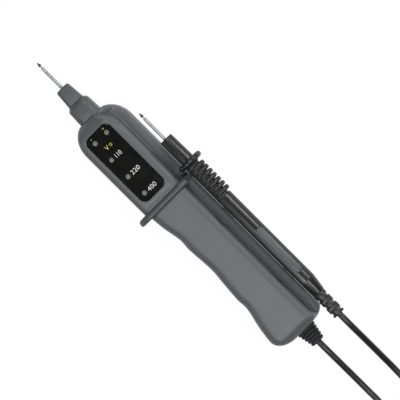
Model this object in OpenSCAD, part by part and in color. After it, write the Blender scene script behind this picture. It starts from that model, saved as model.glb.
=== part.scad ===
// Two-pole voltage tester lying on its back, display up.
// X runs from the main contact tip to the cable end, Y towards the docked second probe, Z up.
// The origin lies on the flat rest face, below the middle of the tester's length.

/* [Housing] */
// Length of the head, from its front face to the finger guard
head_len = 62.6; // [60:0.2:72]
// Length of the grip, from the finger guard to the cable end
grip_len = 108.5; // [100:0.5:116]
// Distance from the origin forward to the finger guard
guard_offset = 7.9; // [5:0.1:12]
// Width of the head
head_w = 34.4; // [33.4:0.2:36]
// Thickness from the rest face to the display face
body_t = 28; // [27:0.25:30]
// Wall of both covers
wall = 2.2; // [1.8:0.1:2.4]
// Depth of the parting line below the long axis
seam_drop = 4.5; // [4.2:0.1:5]
// Half width of the narrow front of the housing
nose_half = 8; // [7.6:0.1:8.6]
// Length of the rounded shoulders of the head
shoulder_len = 14.5; // [11:0.5:16]
// Length of the sloped face between the front of the head and the display
brow_len = 6.3; // [5:0.1:6.8]
// Radius along the top edge on the plain side
edge_r = 5; // [3.5:0.25:6]
// Radius along the bottom edges
base_r = 3; // [2.4:0.2:4]

/* [Dock shelf] */
// Width of the shelf under the second probe
shelf_w = 4.4; // [4:0.1:5]
// Depth of the shelf below the long axis
shelf_drop = 0.5; // [0:0.1:1]
// Width of the sloped band between display face and riser
band_w = 4; // [2:0.2:5]
// Fall of the sloped band
band_fall = 1.2; // [0.6:0.1:2]
// Radius of the lip at the shelf's outer edge
lip_r = 1.6; // [0.8:0.1:2]

/* [Finger guard] */
// Thickness of the guard along the tester
guard_t = 4.4; // [3.6:0.1:4.4]
// Half width of the guard
guard_half = 23.4; // [21.5:0.2:25]
// Height of the guard above the display face
guard_rise = 1.7; // [1:0.1:3]
// Corner radius of the guard
guard_r = 8; // [5:0.5:9]

/* [Display] */
// Length of the display panel
panel_len = 50.7; // [48:0.1:52]
// Width of the display panel
panel_w = 18.6; // [17.4:0.1:18.8]
// Corner radius of the display panel
panel_r = 4.2; // [2:0.1:6]
// Thickness of the display panel
panel_t = 0.9; // [0.6:0.1:1.2]
// Diameter of each lamp
lamp_d = 3; // [2.4:0.1:3.2]
// Pitch of the lamps along the tester
lamp_pitch = 13.55; // [12.5:0.05:13.8]
// Distance between the two rows of lamps
lamp_row = 9.45; // [8.5:0.05:9.6]

/* [Nose] */
// Length of the collar in front of the housing
collar_len = 13.1; // [10:0.1:16]
// Half width of the collar at the housing
collar_half = 7.45; // [6.8:0.05:7.6]
// Length of the nose cone in front of the collar
cone_len = 11.7; // [9:0.1:14]
// Half width of the nose cone at its front
cone_half = 4.4; // [3.8:0.1:5]

/* [Contact tips] */
// Diameter of both contact pins
pin_d = 2; // [1.6:0.1:2.4]
// Length of the main pin in front of the nose cone
main_pin_len = 20.7; // [16:0.1:26]
// Length of the second pin in front of its sleeve
probe_pin_len = 21.3; // [16:0.1:26]

/* [Second probe] */
// Sideways distance of the probe's axis from the tester's axis
probe_y = 22.6; // [22.6:0.05:22.9]
// Height of the probe's axis above the long axis
probe_lift = 8; // [8:0.05:8.4]
// Distance from the origin forward to the front of the probe's sleeve
sleeve_front = 31.3; // [28:0.1:40]
// Length of the front sleeve
sleeve_len = 17.8; // [15:0.1:18]
// Diameter of the front sleeve at the guard disc
sleeve_d = 10.2; // [9.4:0.1:10.6]
// Diameter of the guard disc
disc_d = 18.8; // [16:0.1:19]
// Thickness of the guard disc
disc_t = 3.5; // [2.5:0.1:3.6]
// Diameter of the grip between its ribs
grip_core_d = 9.6; // [9:0.1:10]
// Diameter of the grip's ribs
rib_d = 14.5; // [12:0.1:14.6]
// Number of ribs
rib_count = 7; // [4:1:7]
// Distance from rib to rib
rib_pitch = 3.365; // [3:0.05:3.5]
// Thickness of a rib
rib_t = 2.2; // [1.6:0.1:2.4]
// Diameter of the barrel
barrel_d = 11.3; // [10.5:0.1:11.4]
// Distance from the probe's axis to the flat side of barrel and sleeve
flat_dist = 3.3; // [3.1:0.1:3.8]
// Length of the barrel
barrel_len = 79.3; // [76:0.1:84]
// Length of the barrel's tapered end
taper_len = 10; // [8:0.5:14]
// Length of the thumb plaque
plaque_len = 35.4; // [28:0.2:40]
// Width of the thumb plaque
plaque_w = 4.8; // [4:0.1:5.2]

/* [Cable] */
// Diameter of the test lead
lead_d = 3.8; // [3.6:0.1:4]
// Length of the housing's strain relief
relief_len = 11; // [10:0.5:14]
// Half width of the housing's strain relief at its base
relief_half = 6; // [5.4:0.1:6.2]
// Length of the probe's strain relief
probe_relief_len = 17.1; // [16:0.1:18]
// Depth of the lead's exit below the long axis
lead_drop = 4; // [3.6:0.1:4.4]

/* [Electronics] */
// Thickness of the circuit board
board_t = 1.6; // [1.2:0.2:1.6]
// Gap between the tip's socket and the circuit board
board_gap = 0.2; // [0.1:0.05:1]
// Length of the circuit board
board_len = 92; // [88:1:96]

/* [Hidden] */
$fn = 48;

// Clearances and overruns
fit = 0.1;
over = 0.5;
tiny = 0.05;

// Places along the tester
guard_front = -guard_offset;
guard_back = guard_front + guard_t;
front_x = guard_front - head_len;
end_x = guard_back + grip_len;
axis_z = body_t / 2;
half_w = head_w / 2;
seam_z = axis_z - seam_drop;
probe_z = axis_z + probe_lift;
lead_z = axis_z - lead_drop;

// Places along the second probe
first_rib = 3.45;
grip_tail = 2.5;
sleeve_x = -sleeve_front;
disc_x = sleeve_x + sleeve_len;
grip_x = disc_x + disc_t;
barrel_x = grip_x + first_rib + (rib_count - 1) * rib_pitch + grip_tail;
barrel_end = barrel_x + barrel_len;
probe_relief_end = barrel_end + probe_relief_len;

// Helpers for smooth lengthwise changes
function clamp01(t) = max(0, min(1, t));
function ease(t) = let (c = clamp01(t)) c * c * (3 - 2 * c);
function mix(a, b, t) = a + (b - a) * t;
function quarter(t) = sqrt(1 - pow(1 - clamp01(t), 2));
shoulder_shares = [2, 0.65];
function shoulder(t) = pow(1 - pow(1 - clamp01(t), shoulder_shares[0]), shoulder_shares[1]);

// A smooth curve through a table of [place, value] pairs
function segment(table, t, i = 0) =
    i >= len(table) - 2 || t < table[i + 1][0] ? i : segment(table, t, i + 1);
function slope(table, i) =
    let (a = table[max(i - 1, 0)], b = table[min(i + 1, len(table) - 1)])
    (b[1] - a[1]) / (b[0] - a[0]);
function curve_at(table, t) =
    let (
        i = segment(table, t),
        a = table[i],
        b = table[i + 1],
        h = b[0] - a[0],
        s = clamp01((t - a[0]) / h),
        m = slope(table, i) * h,
        n = slope(table, i + 1) * h
    )
    (2 * pow(s, 3) - 3 * s * s + 1) * a[1] + (pow(s, 3) - 2 * s * s + s) * m
    + (3 * s * s - 2 * pow(s, 3)) * b[1] + (pow(s, 3) - s * s) * n;

// Plain side of the grip: [share of its length, share of the head's half width].
// Three finger hollows, then the flare at the cable end.
grip_shares = [
    [0, 0.921], [0.078, 0.872], [0.183, 0.756], [0.253, 0.776], [0.419, 0.715],
    [0.53, 0.773], [0.636, 0.817], [0.687, 0.797], [0.742, 0.849], [0.797, 0.936],
    [0.862, 1.006], [0.922, 1.047], [1, 1.047]
];
grip_step = 0.6;
plain_corner = 9;
dock_corner = 7;
end_plain_half = 5.3;
end_dock_half = 7.5;
end_top_r = 5;
end_base_r = 4;
belly_len = 10;

// Half widths and heights of the housing at x, seen from the long axis
function plain_half(x) =
    let (
        along = (x - guard_back - grip_step) / (grip_len - grip_step),
        side = x <= guard_back
            ? mix(nose_half, half_w, shoulder((x - front_x) / shoulder_len))
            : half_w * curve_at(grip_shares, along)
    )
    mix(end_plain_half, side, quarter((end_x - x) / plain_corner));
function dock_half(x) =
    mix(end_dock_half, mix(nose_half, half_w, shoulder((x - front_x) / shoulder_len)),
        quarter((end_x - x) / dock_corner));
function top_at(x) =
    mix(nose_half, axis_z, shoulder((x - front_x) / brow_len))
    - end_top_r * (1 - quarter((end_x - x) / end_top_r));
function base_at(x) =
    mix(nose_half, axis_z, shoulder((x - front_x) / belly_len))
    - end_base_r * (1 - quarter((end_x - x) / end_base_r));

// The dock shelf fades out towards the front and the cable end
function shelf_at(x) = ease((x - front_x) / shoulder_len) * ease((end_x - x) / dock_corner);
nose_edge_r = 3;
nose_shelf_w = 1;
nose_band_w = 0.5;
nose_band_fall = 0.1;
nose_riser_h = 3;
nose_lip_r = 0.8;
nose_base_r = 2;
riser_lean = 1;
foot_r = 1.2;
ridge_r = 0.7;
least_r = 0.3;
edge_steps = 6;
lip_steps = 3;
base_steps = 4;

function arc_points(y, z, r, from, to, steps) =
    [for (i = [0:steps]) let (a = mix(from, to, i / steps)) [y + r * cos(a), z + r * sin(a)]];

// Upper outline of a cross-section, from the plain side's seam over the face to the
// dock side's seam, with every face set in by w
function upper_outline(x, w) =
    let (
        k = shelf_at(x),
        side = plain_half(x) - w,
        dock = dock_half(x) - w,
        top = top_at(x) - w,
        r = max(mix(nose_edge_r, edge_r, k) - w, least_r),
        foot = dock - mix(nose_shelf_w, shelf_w, k),
        ridge = foot - mix(nose_shelf_w, riser_lean, k),
        face = ridge - mix(nose_band_w, band_w, k),
        fall = mix(nose_band_fall, band_fall, k),
        shelf = mix(top_at(x) - nose_riser_h, -shelf_drop, k) - w,
        lip = max(mix(nose_lip_r, lip_r, k) - w, least_r),
        z0 = axis_z
    )
    concat(
        [[-side, seam_z]],
        arc_points(r - side, z0 + top - r, r, 180, 90, edge_steps),
        [
            [face, z0 + top],
            [ridge - ridge_r * k, z0 + top - fall],
            [ridge, z0 + top - fall - ridge_r * k - tiny],
            [foot, z0 + shelf + foot_r * k],
            [foot + foot_r * k + tiny, z0 + shelf]
        ],
        arc_points(dock - lip, z0 + shelf - lip, lip, 90, 0, lip_steps),
        [[dock, seam_z]]
    );

// Lower outline, from the dock side's seam under the belly to the plain side's seam
function lower_outline(x, w) =
    let (
        k = shelf_at(x),
        side = plain_half(x) - w,
        dock = dock_half(x) - w,
        base = base_at(x) - w,
        r = max(mix(nose_base_r, base_r, k) - w, least_r),
        z0 = axis_z
    )
    concat(
        [[dock, seam_z]],
        arc_points(dock - r, z0 - base + r, r, 0, -90, base_steps),
        arc_points(r - side, z0 - base + r, r, -90, -180, base_steps),
        [[-side, seam_z]]
    );

// Stations along the housing: shares of the shoulders, evenly along the grip, and
// even angles round the cable end
nose_station_shares = [0.05, 0.12, 0.22, 0.34, 0.5, 0.7, 1];
grip_stations = 18;
end_angles = [78, 64, 50, 38, 27, 15];
grip_end = end_x - plain_corner;
stations = concat(
    [front_x],
    [for (s = nose_station_shares) front_x + shoulder_len * s],
    [guard_back],
    [for (i = [0:grip_stations]) mix(guard_back + grip_step, grip_end, i / grip_stations)],
    [for (a = end_angles) end_x - plain_corner * (1 - cos(a))],
    [end_x]
);
last = len(stations) - 1;
inner_stations = [
    for (x = stations) mix(front_x + wall, end_x - wall, (x - front_x) / (end_x - front_x))
];

// One cover: an outer and an inner skin over the same stations, closed along the seam.
// Rows of points lie along X; each row runs along the outline.
function skin_quads(start, count, flip) = [
    for (i = [0:last - 1], j = [0:count - 2])
    let (
        a = start + i * count + j,
        b = a + 1,
        c = a + count + 1,
        d = a + count
    )
    each flip ? [[a, b, c], [a, c, d]] : [[a, c, b], [a, d, c]]
];
module cover_shell(outer, inner) {
    count = len(outer[0]);
    skip = len(stations) * count;
    points = concat(
        [for (i = [0:last], p = outer[i]) [stations[i], p[0], p[1]]],
        [for (i = [0:last], p = inner[i]) [inner_stations[i], p[0], p[1]]]
    );
    rims = [
        for (i = [0:last - 1])
        let (
            a = i * count,
            b = a + count,
            c = a + count - 1,
            d = b + count - 1
        )
        each [
            [a, b + skip, a + skip], [a, b, b + skip],
            [c, d + skip, d], [c, c + skip, d + skip]
        ]
    ];
    front_cap = [for (j = [0:count - 1]) count - 1 - j];
    back_cap = [for (j = [0:count - 1]) last * count + j];
    front_inner = [for (j = [0:count - 1]) skip + j];
    back_inner = [for (j = [0:count - 1]) skip + last * count + count - 1 - j];
    front_rim = [0, skip, skip + count - 1, count - 1];
    back_rim = [
        last * count, last * count + count - 1, skip + last * count + count - 1,
        skip + last * count
    ];
    polyhedron(points, concat(
        skin_quads(0, count, true), skin_quads(skip, count, false), rims,
        [front_cap, back_cap, front_inner, back_inner, front_rim, back_rim]
    ));
}

// A plate with rounded corners, centred in X and Y, standing on z = 0
module rounded_plate(length, width, r, height) {
    translate([r - length / 2, -width / 2, 0]) cube([length - 2 * r, width, height]);
    translate([-length / 2, r - width / 2, 0]) cube([length, width - 2 * r, height]);
    for (sx = [-1, 1], sy = [-1, 1])
        translate([sx * (length / 2 - r), sy * (width / 2 - r), 0]) cylinder(h = height, r = r);
}

// A cylinder along +X that starts at x
module rod(x, y, z, r, length) {
    translate([x, y, z]) rotate([0, 90, 0]) cylinder(h = length, r = r);
}

// Display panel and lamps
panel_front = 7.2;
panel_x = front_x + panel_front + panel_len / 2;
panel_gap = 0.3;
panel_y = half_w - shelf_w - riser_lean - band_w - panel_gap - wall / 2 - panel_w / 2;
panel_seat = fit;
lamp_first = 5.1;
lamp_x = panel_x - panel_len / 2 + lamp_first;
lamp_side = 4.6;
lamp_y = panel_y - lamp_side;
lamp_gap = 0.1;
lamp_places = [
    [lamp_x, lamp_y + lamp_row], [lamp_x, lamp_y], [lamp_x + lamp_pitch, lamp_y],
    [lamp_x + 2 * lamp_pitch, lamp_y], [lamp_x + 3 * lamp_pitch, lamp_y]
];

// Front edge of the circuit board
board_back = 8;
board_front = front_x + board_back;

// Screws that hold the covers together, each [x, y]
screw_r = 1.3;
screw_gap = 0.05;
screw_head_r = 2.4;
screw_head_h = 1.8;
screw_sink = 2.6;
screw_len = 16;
boss_r = 2.8;
rear_boss_r = 3.9;
front_screw_back = 19;
front_screw_plain = 12.1;
front_screw_dock = 6.8;
mid_screw_gap = 8.5;
mid_screw_side = 6;
end_screw_gap = 13;
end_screw_plain = 9;
end_screw_dock = 7.2;
cover_screw_places = [
    [front_x + front_screw_back, -front_screw_plain],
    [front_x + front_screw_back, front_screw_dock],
    [board_front + board_len + mid_screw_gap, -mid_screw_side],
    [end_x - end_screw_gap, -end_screw_plain],
    [end_x - end_screw_gap, end_screw_dock]
];

// Nose: the collar and the cone share one chamfered square section
cone_back = front_x - collar_len;
cone_front = cone_back - cone_len;
cone_root_half = 5.15;
collar_front_half = 7;
collar_bevel = 2.1;
nose_chamfer_share = 0.39;
spigot_r = 4;
spigot_len = 9;
socket_r = 2.6;
socket_front = 5;
socket_tail = 13.5;
socket_tail_r = 1.6;
socket_bore = 8;

// Lead inside the housing
lead_y = 0.8;
relief_end = end_x + relief_len;
core_r = 0.9;
clamp_back = 21;
clamp_x = end_x - clamp_back;
inner_lead_ahead = 4;
inner_lead_x = clamp_x - inner_lead_ahead;
clamp_w = 6;
clamp_t = 2.4;
clamp_half = 9;
clamp_screw_side = 6;
clamp_screw_r = 1;
clamp_head_r = 1.9;
clamp_head_h = 1.4;
clamp_screw_len = 7;

// Circuit board
board_z = axis_z + socket_tail_r + board_gap;
core_inset = 1.5;
core_x = board_front + board_len - core_inset;
board_head_len = 52;
board_plain = 13.6;
board_dock = 9.2;
board_grip_half = 8.6;
post_r = 1.6;
front_post_back = 25;
rear_post_gap = 5;
front_post_x = board_front + front_post_back;
rear_post_x = board_front + board_len - rear_post_gap;
front_post_plain = 9.5;
front_post_dock = 6.5;
rear_post_side = 6;
post_places = [
    [front_post_x, -front_post_plain], [front_post_x, front_post_dock],
    [rear_post_x, -rear_post_side], [rear_post_x, rear_post_side]
];
board_top = board_z + board_t;

// Front cover: display face, brow, dock shelf and the upper part of the grip
module front_cover() color("#6c6e72") {
    difference() {
        cover_shell(
            [for (x = stations) upper_outline(x, 0)],
            [for (x = inner_stations) upper_outline(x, wall)]
        );
        translate([panel_x, panel_y, body_t - panel_t - panel_seat])
            rounded_plate(panel_len + 2 * fit, panel_w + 2 * fit, panel_r + fit,
                panel_t + panel_seat + over);
        for (p = lamp_places)
            translate([p[0], p[1], body_t - 2 * wall])
                cylinder(h = 3 * wall, r = lamp_d / 2 + lamp_gap);
        rod(front_x - over, 0, axis_z, socket_r + fit, wall + 2 * over);
        rod(end_x - wall - over, lead_y, lead_z, lead_d / 2 + fit, wall + 2 * over);
    }
    for (p = cover_screw_places)
        translate([p[0], p[1], seam_z]) difference() {
            cylinder(h = body_t - wall + over - seam_z, r = boss_r);
            translate([0, 0, -over])
                cylinder(h = screw_len - seam_z + screw_sink + 2 * over,
                    r = screw_r + screw_gap);
        }
}

// Rear cover: flat back, lower sides, posts for the board and pedestal for the lead
peg_r = 1.5;
peg_drop = 3.3;
peg_z = seam_z - peg_drop;
peg_len = 3.4;
front_clip_back = 8.86;
front_clip_x = barrel_x + front_clip_back;
rear_clip_ahead = 20.44;
rear_clip_x = barrel_end - rear_clip_ahead;
clip_w = 8;
module rear_cover() color("#5d5f64") {
    difference() {
        union() {
            cover_shell(
                [for (x = stations) lower_outline(x, 0)],
                [for (x = inner_stations) lower_outline(x, wall)]
            );
            for (p = cover_screw_places)
                translate([p[0], p[1], wall - over])
                    cylinder(h = seam_z - wall + over, r = rear_boss_r);
        }
        for (p = cover_screw_places) {
            translate([p[0], p[1], -over]) cylinder(h = seam_z + 2 * over,
                r = screw_r + 2 * screw_gap);
            translate([p[0], p[1], -over])
                cylinder(h = screw_sink + over, r = screw_head_r + fit);
        }
        rod(end_x - wall - over, lead_y, lead_z, lead_d / 2 + fit, wall + 2 * over);
        for (x = [front_clip_x, rear_clip_x])
            translate([x, half_w + over, peg_z]) rotate([90, 0, 0])
                cylinder(h = wall + 2 * over, r = peg_r + fit);
    }
    for (p = post_places)
        translate([p[0], p[1], wall - over])
            cylinder(h = board_z - wall + over, r = post_r);
    difference() {
        union() {
            translate([clamp_x - clamp_w / 2, lead_y - clamp_half, wall - over])
                cube([clamp_w, 2 * clamp_half, lead_z - lead_d / 2 - wall + over]);
            for (s = [-1, 1])
                translate([clamp_x, lead_y + s * clamp_screw_side, wall - over])
                    cylinder(h = lead_z + lead_d / 2 - wall + over, r = clamp_w / 2 - fit);
        }
        for (s = [-1, 1])
            translate([clamp_x, lead_y + s * clamp_screw_side, lead_z - clamp_screw_len])
                cylinder(h = clamp_screw_len + lead_d, r = clamp_screw_r + screw_gap);
    }
}

// Finger guard: a plate round the housing, cut open for the second probe's grip
guard_base = 1;
guard_dock_reach = 4.4;
guard_dock_half = probe_y + guard_dock_reach;
guard_arm_drop = 9;
guard_arm_top = probe_z - guard_arm_drop;
guard_arm_r = 4;
module guard_blank() {
    top = body_t + guard_rise;
    // Main part of the guard
    for (y = [guard_r - guard_half, half_w - guard_r], z = [guard_base + guard_r, top - guard_r])
        translate([y, z]) circle(r = guard_r);
    translate([guard_r - guard_half, guard_base])
        square([guard_half + half_w - 2 * guard_r, top - guard_base]);
    translate([-guard_half, guard_base + guard_r])
        square([guard_half + half_w, top - guard_base - 2 * guard_r]);
    // Arm below the second probe
    translate([0, guard_base]) square([guard_dock_half - guard_arm_r, guard_arm_top - guard_base]);
    translate([0, guard_base + guard_arm_r])
        square([guard_dock_half, guard_arm_top - guard_base - 2 * guard_arm_r]);
    for (z = [guard_base + guard_arm_r, guard_arm_top - guard_arm_r])
        translate([guard_dock_half - guard_arm_r, z]) circle(r = guard_arm_r);
}
module finger_guard() color("#55575b") {
    notch_r = rib_d / 2 + 3 * fit;
    x = (guard_front + guard_back) / 2;
    translate([guard_front, 0, 0]) rotate([90, 0, 90]) linear_extrude(height = guard_t)
        difference() {
            guard_blank();
            polygon(concat(upper_outline(x, -fit), lower_outline(x, -fit)));
            translate([probe_y, probe_z]) circle(r = notch_r);
            translate([probe_y - notch_r, probe_z]) square([2 * notch_r, body_t]);
        }
}

// Display panel with a hole over each lamp
module display_panel() color("#1d1d1b") difference() {
    translate([panel_x, panel_y, body_t - panel_t])
        rounded_plate(panel_len, panel_w, panel_r, panel_t);
    for (p = lamp_places)
        translate([p[0], p[1], body_t - panel_t - over])
            cylinder(h = panel_t + 2 * over, r = lamp_d / 2 + lamp_gap);
}

// A solid between chamfered squares: rows of [x, half width]
function chamfered_square(x, half) =
    let (c = half * (1 - nose_chamfer_share))
    [
        [x, c, half], [x, half, c], [x, half, -c], [x, c, -half],
        [x, -c, -half], [x, -half, -c], [x, -half, c], [x, -c, half]
    ];
module chamfered_loft(rows) {
    corners = 8;
    points = [for (row = rows, p = chamfered_square(row[0], row[1])) p];
    sides = [
        for (i = [0:len(rows) - 2], j = [0:corners - 1])
        let (
            a = i * corners + j,
            b = i * corners + (j + 1) % corners
        )
        each [[a, b, b + corners], [a, b + corners, a + corners]]
    ];
    polyhedron(points, concat(
        sides,
        [
            [for (j = [0:corners - 1]) corners - 1 - j],
            [for (j = [0:corners - 1]) (len(rows) - 1) * corners + j]
        ]
    ));
}

// Collar between housing and nose cone
module nose_collar() color("#636569") difference() {
    translate([0, 0, axis_z]) chamfered_loft([
        [cone_back, cone_root_half], [cone_back + collar_bevel, collar_front_half],
        [front_x, collar_half]
    ]);
    rod(cone_back - over, 0, axis_z, spigot_r + fit, collar_len + 2 * over);
}

// Nose cone with the spigot that sits in the collar
cone_lip = 1;
cone_lip_half = 3.6;
module nose_cone() color("#5f5f62") difference() {
    union() {
        translate([0, 0, axis_z]) chamfered_loft([
            [cone_front, cone_lip_half], [cone_front + cone_lip, cone_half],
            [cone_back, cone_root_half]
        ]);
        rod(cone_back - over, 0, axis_z, spigot_r, spigot_len + over);
    }
    rod(cone_front - over, 0, axis_z, stud_r + screw_gap, cone_len + spigot_len);
    rod(cone_front + socket_front, 0, axis_z, socket_r + fit,
        cone_len + spigot_len - socket_front + over);
}

// Contact pin: rows of [distance from the point, share of the pin's radius]
thread_pitch = 1.1;
thread_count = 4;
point_len = 3.4;
thread_dip_share = 0.8;
stud_share = 0.7;
stud_r = pin_d / 2 * stud_share;
module contact_pin(length, stud) {
    r = pin_d / 2;
    rotate([0, 90, 0]) rotate_extrude() polygon(concat(
        [[0, 0], [r * thread_dip_share, point_len]],
        [
            for (i = [0:thread_count - 1])
            let (z = point_len + i * thread_pitch)
            each [
                [r, z + thread_pitch / 4], [r, z + thread_pitch / 2],
                [r * thread_dip_share, z + 3 * thread_pitch / 4],
                [r * thread_dip_share, z + thread_pitch]
            ]
        ],
        [
            [r, point_len + (thread_count + 1 / 4) * thread_pitch], [r, length],
            [stud_r, length], [stud_r, length + stud], [0, length + stud]
        ]
    ));
}
module main_tip() color("#b9bcc0") translate([cone_front - main_pin_len, 0, axis_z])
    contact_pin(main_pin_len, socket_front + socket_bore);

// Brass socket behind the main tip, with its solder pin up to the board
socket_pin_r = 0.7;
module tip_socket() color("#c9a349") {
    start = cone_front + socket_front;
    tail = front_x + socket_tail;
    difference() {
        rod(start, 0, axis_z, socket_r, front_x + wall + socket_r - start);
        rod(start - over, 0, axis_z, stud_r + screw_gap, socket_bore + over);
    }
    rod(front_x + wall + socket_r - over, 0, axis_z, socket_tail_r,
        tail - front_x - wall - socket_r + over);
    translate([tail - socket_tail_r, 0, axis_z])
        cylinder(h = board_z - axis_z, r = socket_pin_r);
}

// Circuit board, wide in the head and narrow in the grip
module circuit_board() color("#2f6b45") difference() {
    union() {
        translate([board_front, -board_plain, board_z])
            cube([board_head_len, board_plain + board_dock, board_t]);
        translate([board_front, -board_grip_half, board_z])
            cube([board_len, 2 * board_grip_half, board_t]);
    }
    for (p = cover_screw_places)
        translate([p[0], p[1], board_z - over])
            cylinder(h = board_t + 2 * over, r = boss_r + 3 * fit);
}

// Carrier strip that holds the lamps under the display
carrier_t = 2.6;
carrier_z = body_t - 2 * wall - carrier_t;
carrier_margin = 1.6;
carrier_len = 3 * lamp_pitch + lamp_d + 2 * carrier_margin;
carrier_leg_r = 0.8;
module lamp_carrier() color("#e6e2d6") {
    half = lamp_d / 2 + carrier_margin;
    difference() {
        union() {
            translate([lamp_x - half, lamp_y - lamp_d / 2, carrier_z])
                cube([carrier_len, lamp_row + lamp_d, carrier_t]);
        }
        for (p = lamp_places)
            translate([p[0], p[1], carrier_z - over])
                cylinder(h = carrier_t + 2 * over, r = lamp_d / 2 + lamp_gap);
        translate([front_x + front_screw_back, front_screw_dock, carrier_z - over])
            cylinder(h = carrier_t + 2 * over, r = boss_r + 2 * fit);
    }
    for (x = [lamp_x + lamp_pitch / 2, lamp_x + 5 / 2 * lamp_pitch])
        translate([x, lamp_y + lamp_row / 2, board_top])
            cylinder(h = carrier_z - board_top + fit, r = carrier_leg_r);
}

// One lamp on its two legs
lamp_leg_r = 0.25;
lamp_leg_gap = 1.27;
lamp_dome_share = 0.7;
dome_steps = 5;
module lamp() {
    base = carrier_z - 2 * fit - lamp_d / 3;
    dome = lamp_d / 2 * lamp_dome_share;
    translate([0, 0, base]) rotate_extrude() polygon(concat(
        [[0, 0], [lamp_d / 2 + lamp_d / 10, 0], [lamp_d / 2 + lamp_d / 10, lamp_d / 3],
            [lamp_d / 2, lamp_d / 3]],
        [
            for (i = [0:dome_steps])
            let (a = 90 * i / dome_steps)
            [lamp_d / 2 * cos(a), body_t - base - dome + dome * sin(a)]
        ]
    ));
    for (s = [-1, 1])
        translate([s * lamp_leg_gap, 0, board_top])
            cylinder(h = base - board_top + fit, r = lamp_leg_r);
}
module polarity_lamps() color("#9a9a96")
    for (i = [0:1]) translate([lamp_places[i][0], lamp_places[i][1], 0]) lamp();
module voltage_lamps() color("#a2a29e")
    for (i = [2:4]) translate([lamp_places[i][0], lamp_places[i][1], 0]) lamp();

// An axial part with its leads bent down to the board
wire_r = 0.35;
module axial_part(r, length, span) {
    lift = r + fit;
    translate([0, 0, lift]) {
        rod(-length / 2, 0, 0, r, length);
        rod(-span / 2, 0, 0, wire_r, span);
    }
    for (s = [-1, 1])
        translate([s * (span / 2 - wire_r), 0, 0]) cylinder(h = lift + wire_r / 2, r = wire_r);
}
resistor_r = 2.1;
resistor_len = 14;
resistor_span = 19;
resistor_side = 4.2;
module series_resistors() color("#c8b28a")
    for (s = [-1, 1])
        translate([resistor_x, s * resistor_side, board_top])
            axial_part(resistor_r, resistor_len, resistor_span);
diode_r = 1.1;
diode_len = 4.4;
diode_span = 8;
part_gap = 0.4;
diode_x = board_front + board_len - part_gap - diode_span / 2;
resistor_x = diode_x - diode_span / 2 - part_gap - resistor_span / 2;
diode_pitch = 3.6;
diode_count = 4;
module rectifier_diodes() color("#1f1f22")
    for (i = [0:diode_count - 1])
        translate([diode_x, (i - (diode_count - 1) / 2) * diode_pitch, board_top])
            axial_part(diode_r, diode_len, diode_span);

// Bared core of the lead: along the housing and up to the board
module lead_core() color("#b9733f") {
    rod(core_x, lead_y, lead_z, core_r, inner_lead_x - core_x);
    translate([core_x, lead_y, lead_z]) {
        sphere(r = core_r);
        cylinder(h = board_z - lead_z, r = core_r);
    }
}
module lead_inner_end() color("#26262a")
    rod(inner_lead_x, lead_y, lead_z, lead_d / 2, relief_end - inner_lead_x);

// Clamp bar over the lead and its two screws
module cable_clamp() color("#8d8f93") {
    z = lead_z + lead_d / 2;
    difference() {
        translate([clamp_x - clamp_w / 2, lead_y - clamp_half, z])
            cube([clamp_w, 2 * clamp_half, clamp_t]);
        for (s = [-1, 1])
            translate([clamp_x, lead_y + s * clamp_screw_side, z - over])
                cylinder(h = clamp_t + 2 * over, r = clamp_screw_r + screw_gap);
    }
}
module screw(head_r, head_h, r, length) {
    slot_share = 0.22;
    difference() {
        cylinder(h = head_h, r = head_r);
        for (a = [0, 90]) rotate([0, 0, a])
            translate([-head_r * slot_share, -head_r * 2 * slot_share, -over])
                cube([2 * head_r * slot_share, 4 * head_r * slot_share, head_h / 2 + over]);
    }
    translate([0, 0, head_h - tiny]) cylinder(h = length + tiny, r = r);
}
module clamp_screws() color("#c4c6c9")
    for (s = [-1, 1])
        translate([clamp_x, lead_y + s * clamp_screw_side,
            lead_z + lead_d / 2 + clamp_t + clamp_head_h])
            rotate([180, 0, 0])
                screw(clamp_head_r, clamp_head_h, clamp_screw_r, clamp_screw_len);
module cover_screws() color("#c4c6c9")
    for (p = cover_screw_places)
        translate([p[0], p[1], screw_sink - screw_head_h])
            screw(screw_head_r, screw_head_h, screw_r, screw_len - screw_sink);

// Ribbed strain relief at the cable end of the housing
relief_end_half = 3.9;
relief_rib_count = 5;
relief_groove = 0.5;
relief_flat_share = 0.3;
function relief_half_at(t) = mix(relief_half, relief_end_half, t);
module body_relief() color("#26272d") {
    pitch = relief_len / relief_rib_count;
    rows = concat(
        [
            for (i = [0:relief_rib_count - 1])
            let (x = i * pitch, t = i / relief_rib_count)
            each [
                [x, relief_half_at(t) - relief_groove],
                [x + pitch * relief_flat_share, relief_half_at(t)],
                [x + pitch * 2 * relief_flat_share, relief_half_at(t)]
            ]
        ],
        [[relief_len, relief_end_half - relief_groove]]
    );
    difference() {
        translate([end_x, lead_y, lead_z]) chamfered_loft(rows);
        rod(end_x - over, lead_y, lead_z, lead_d / 2 + tiny, relief_len + 2 * over);
    }
}

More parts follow.
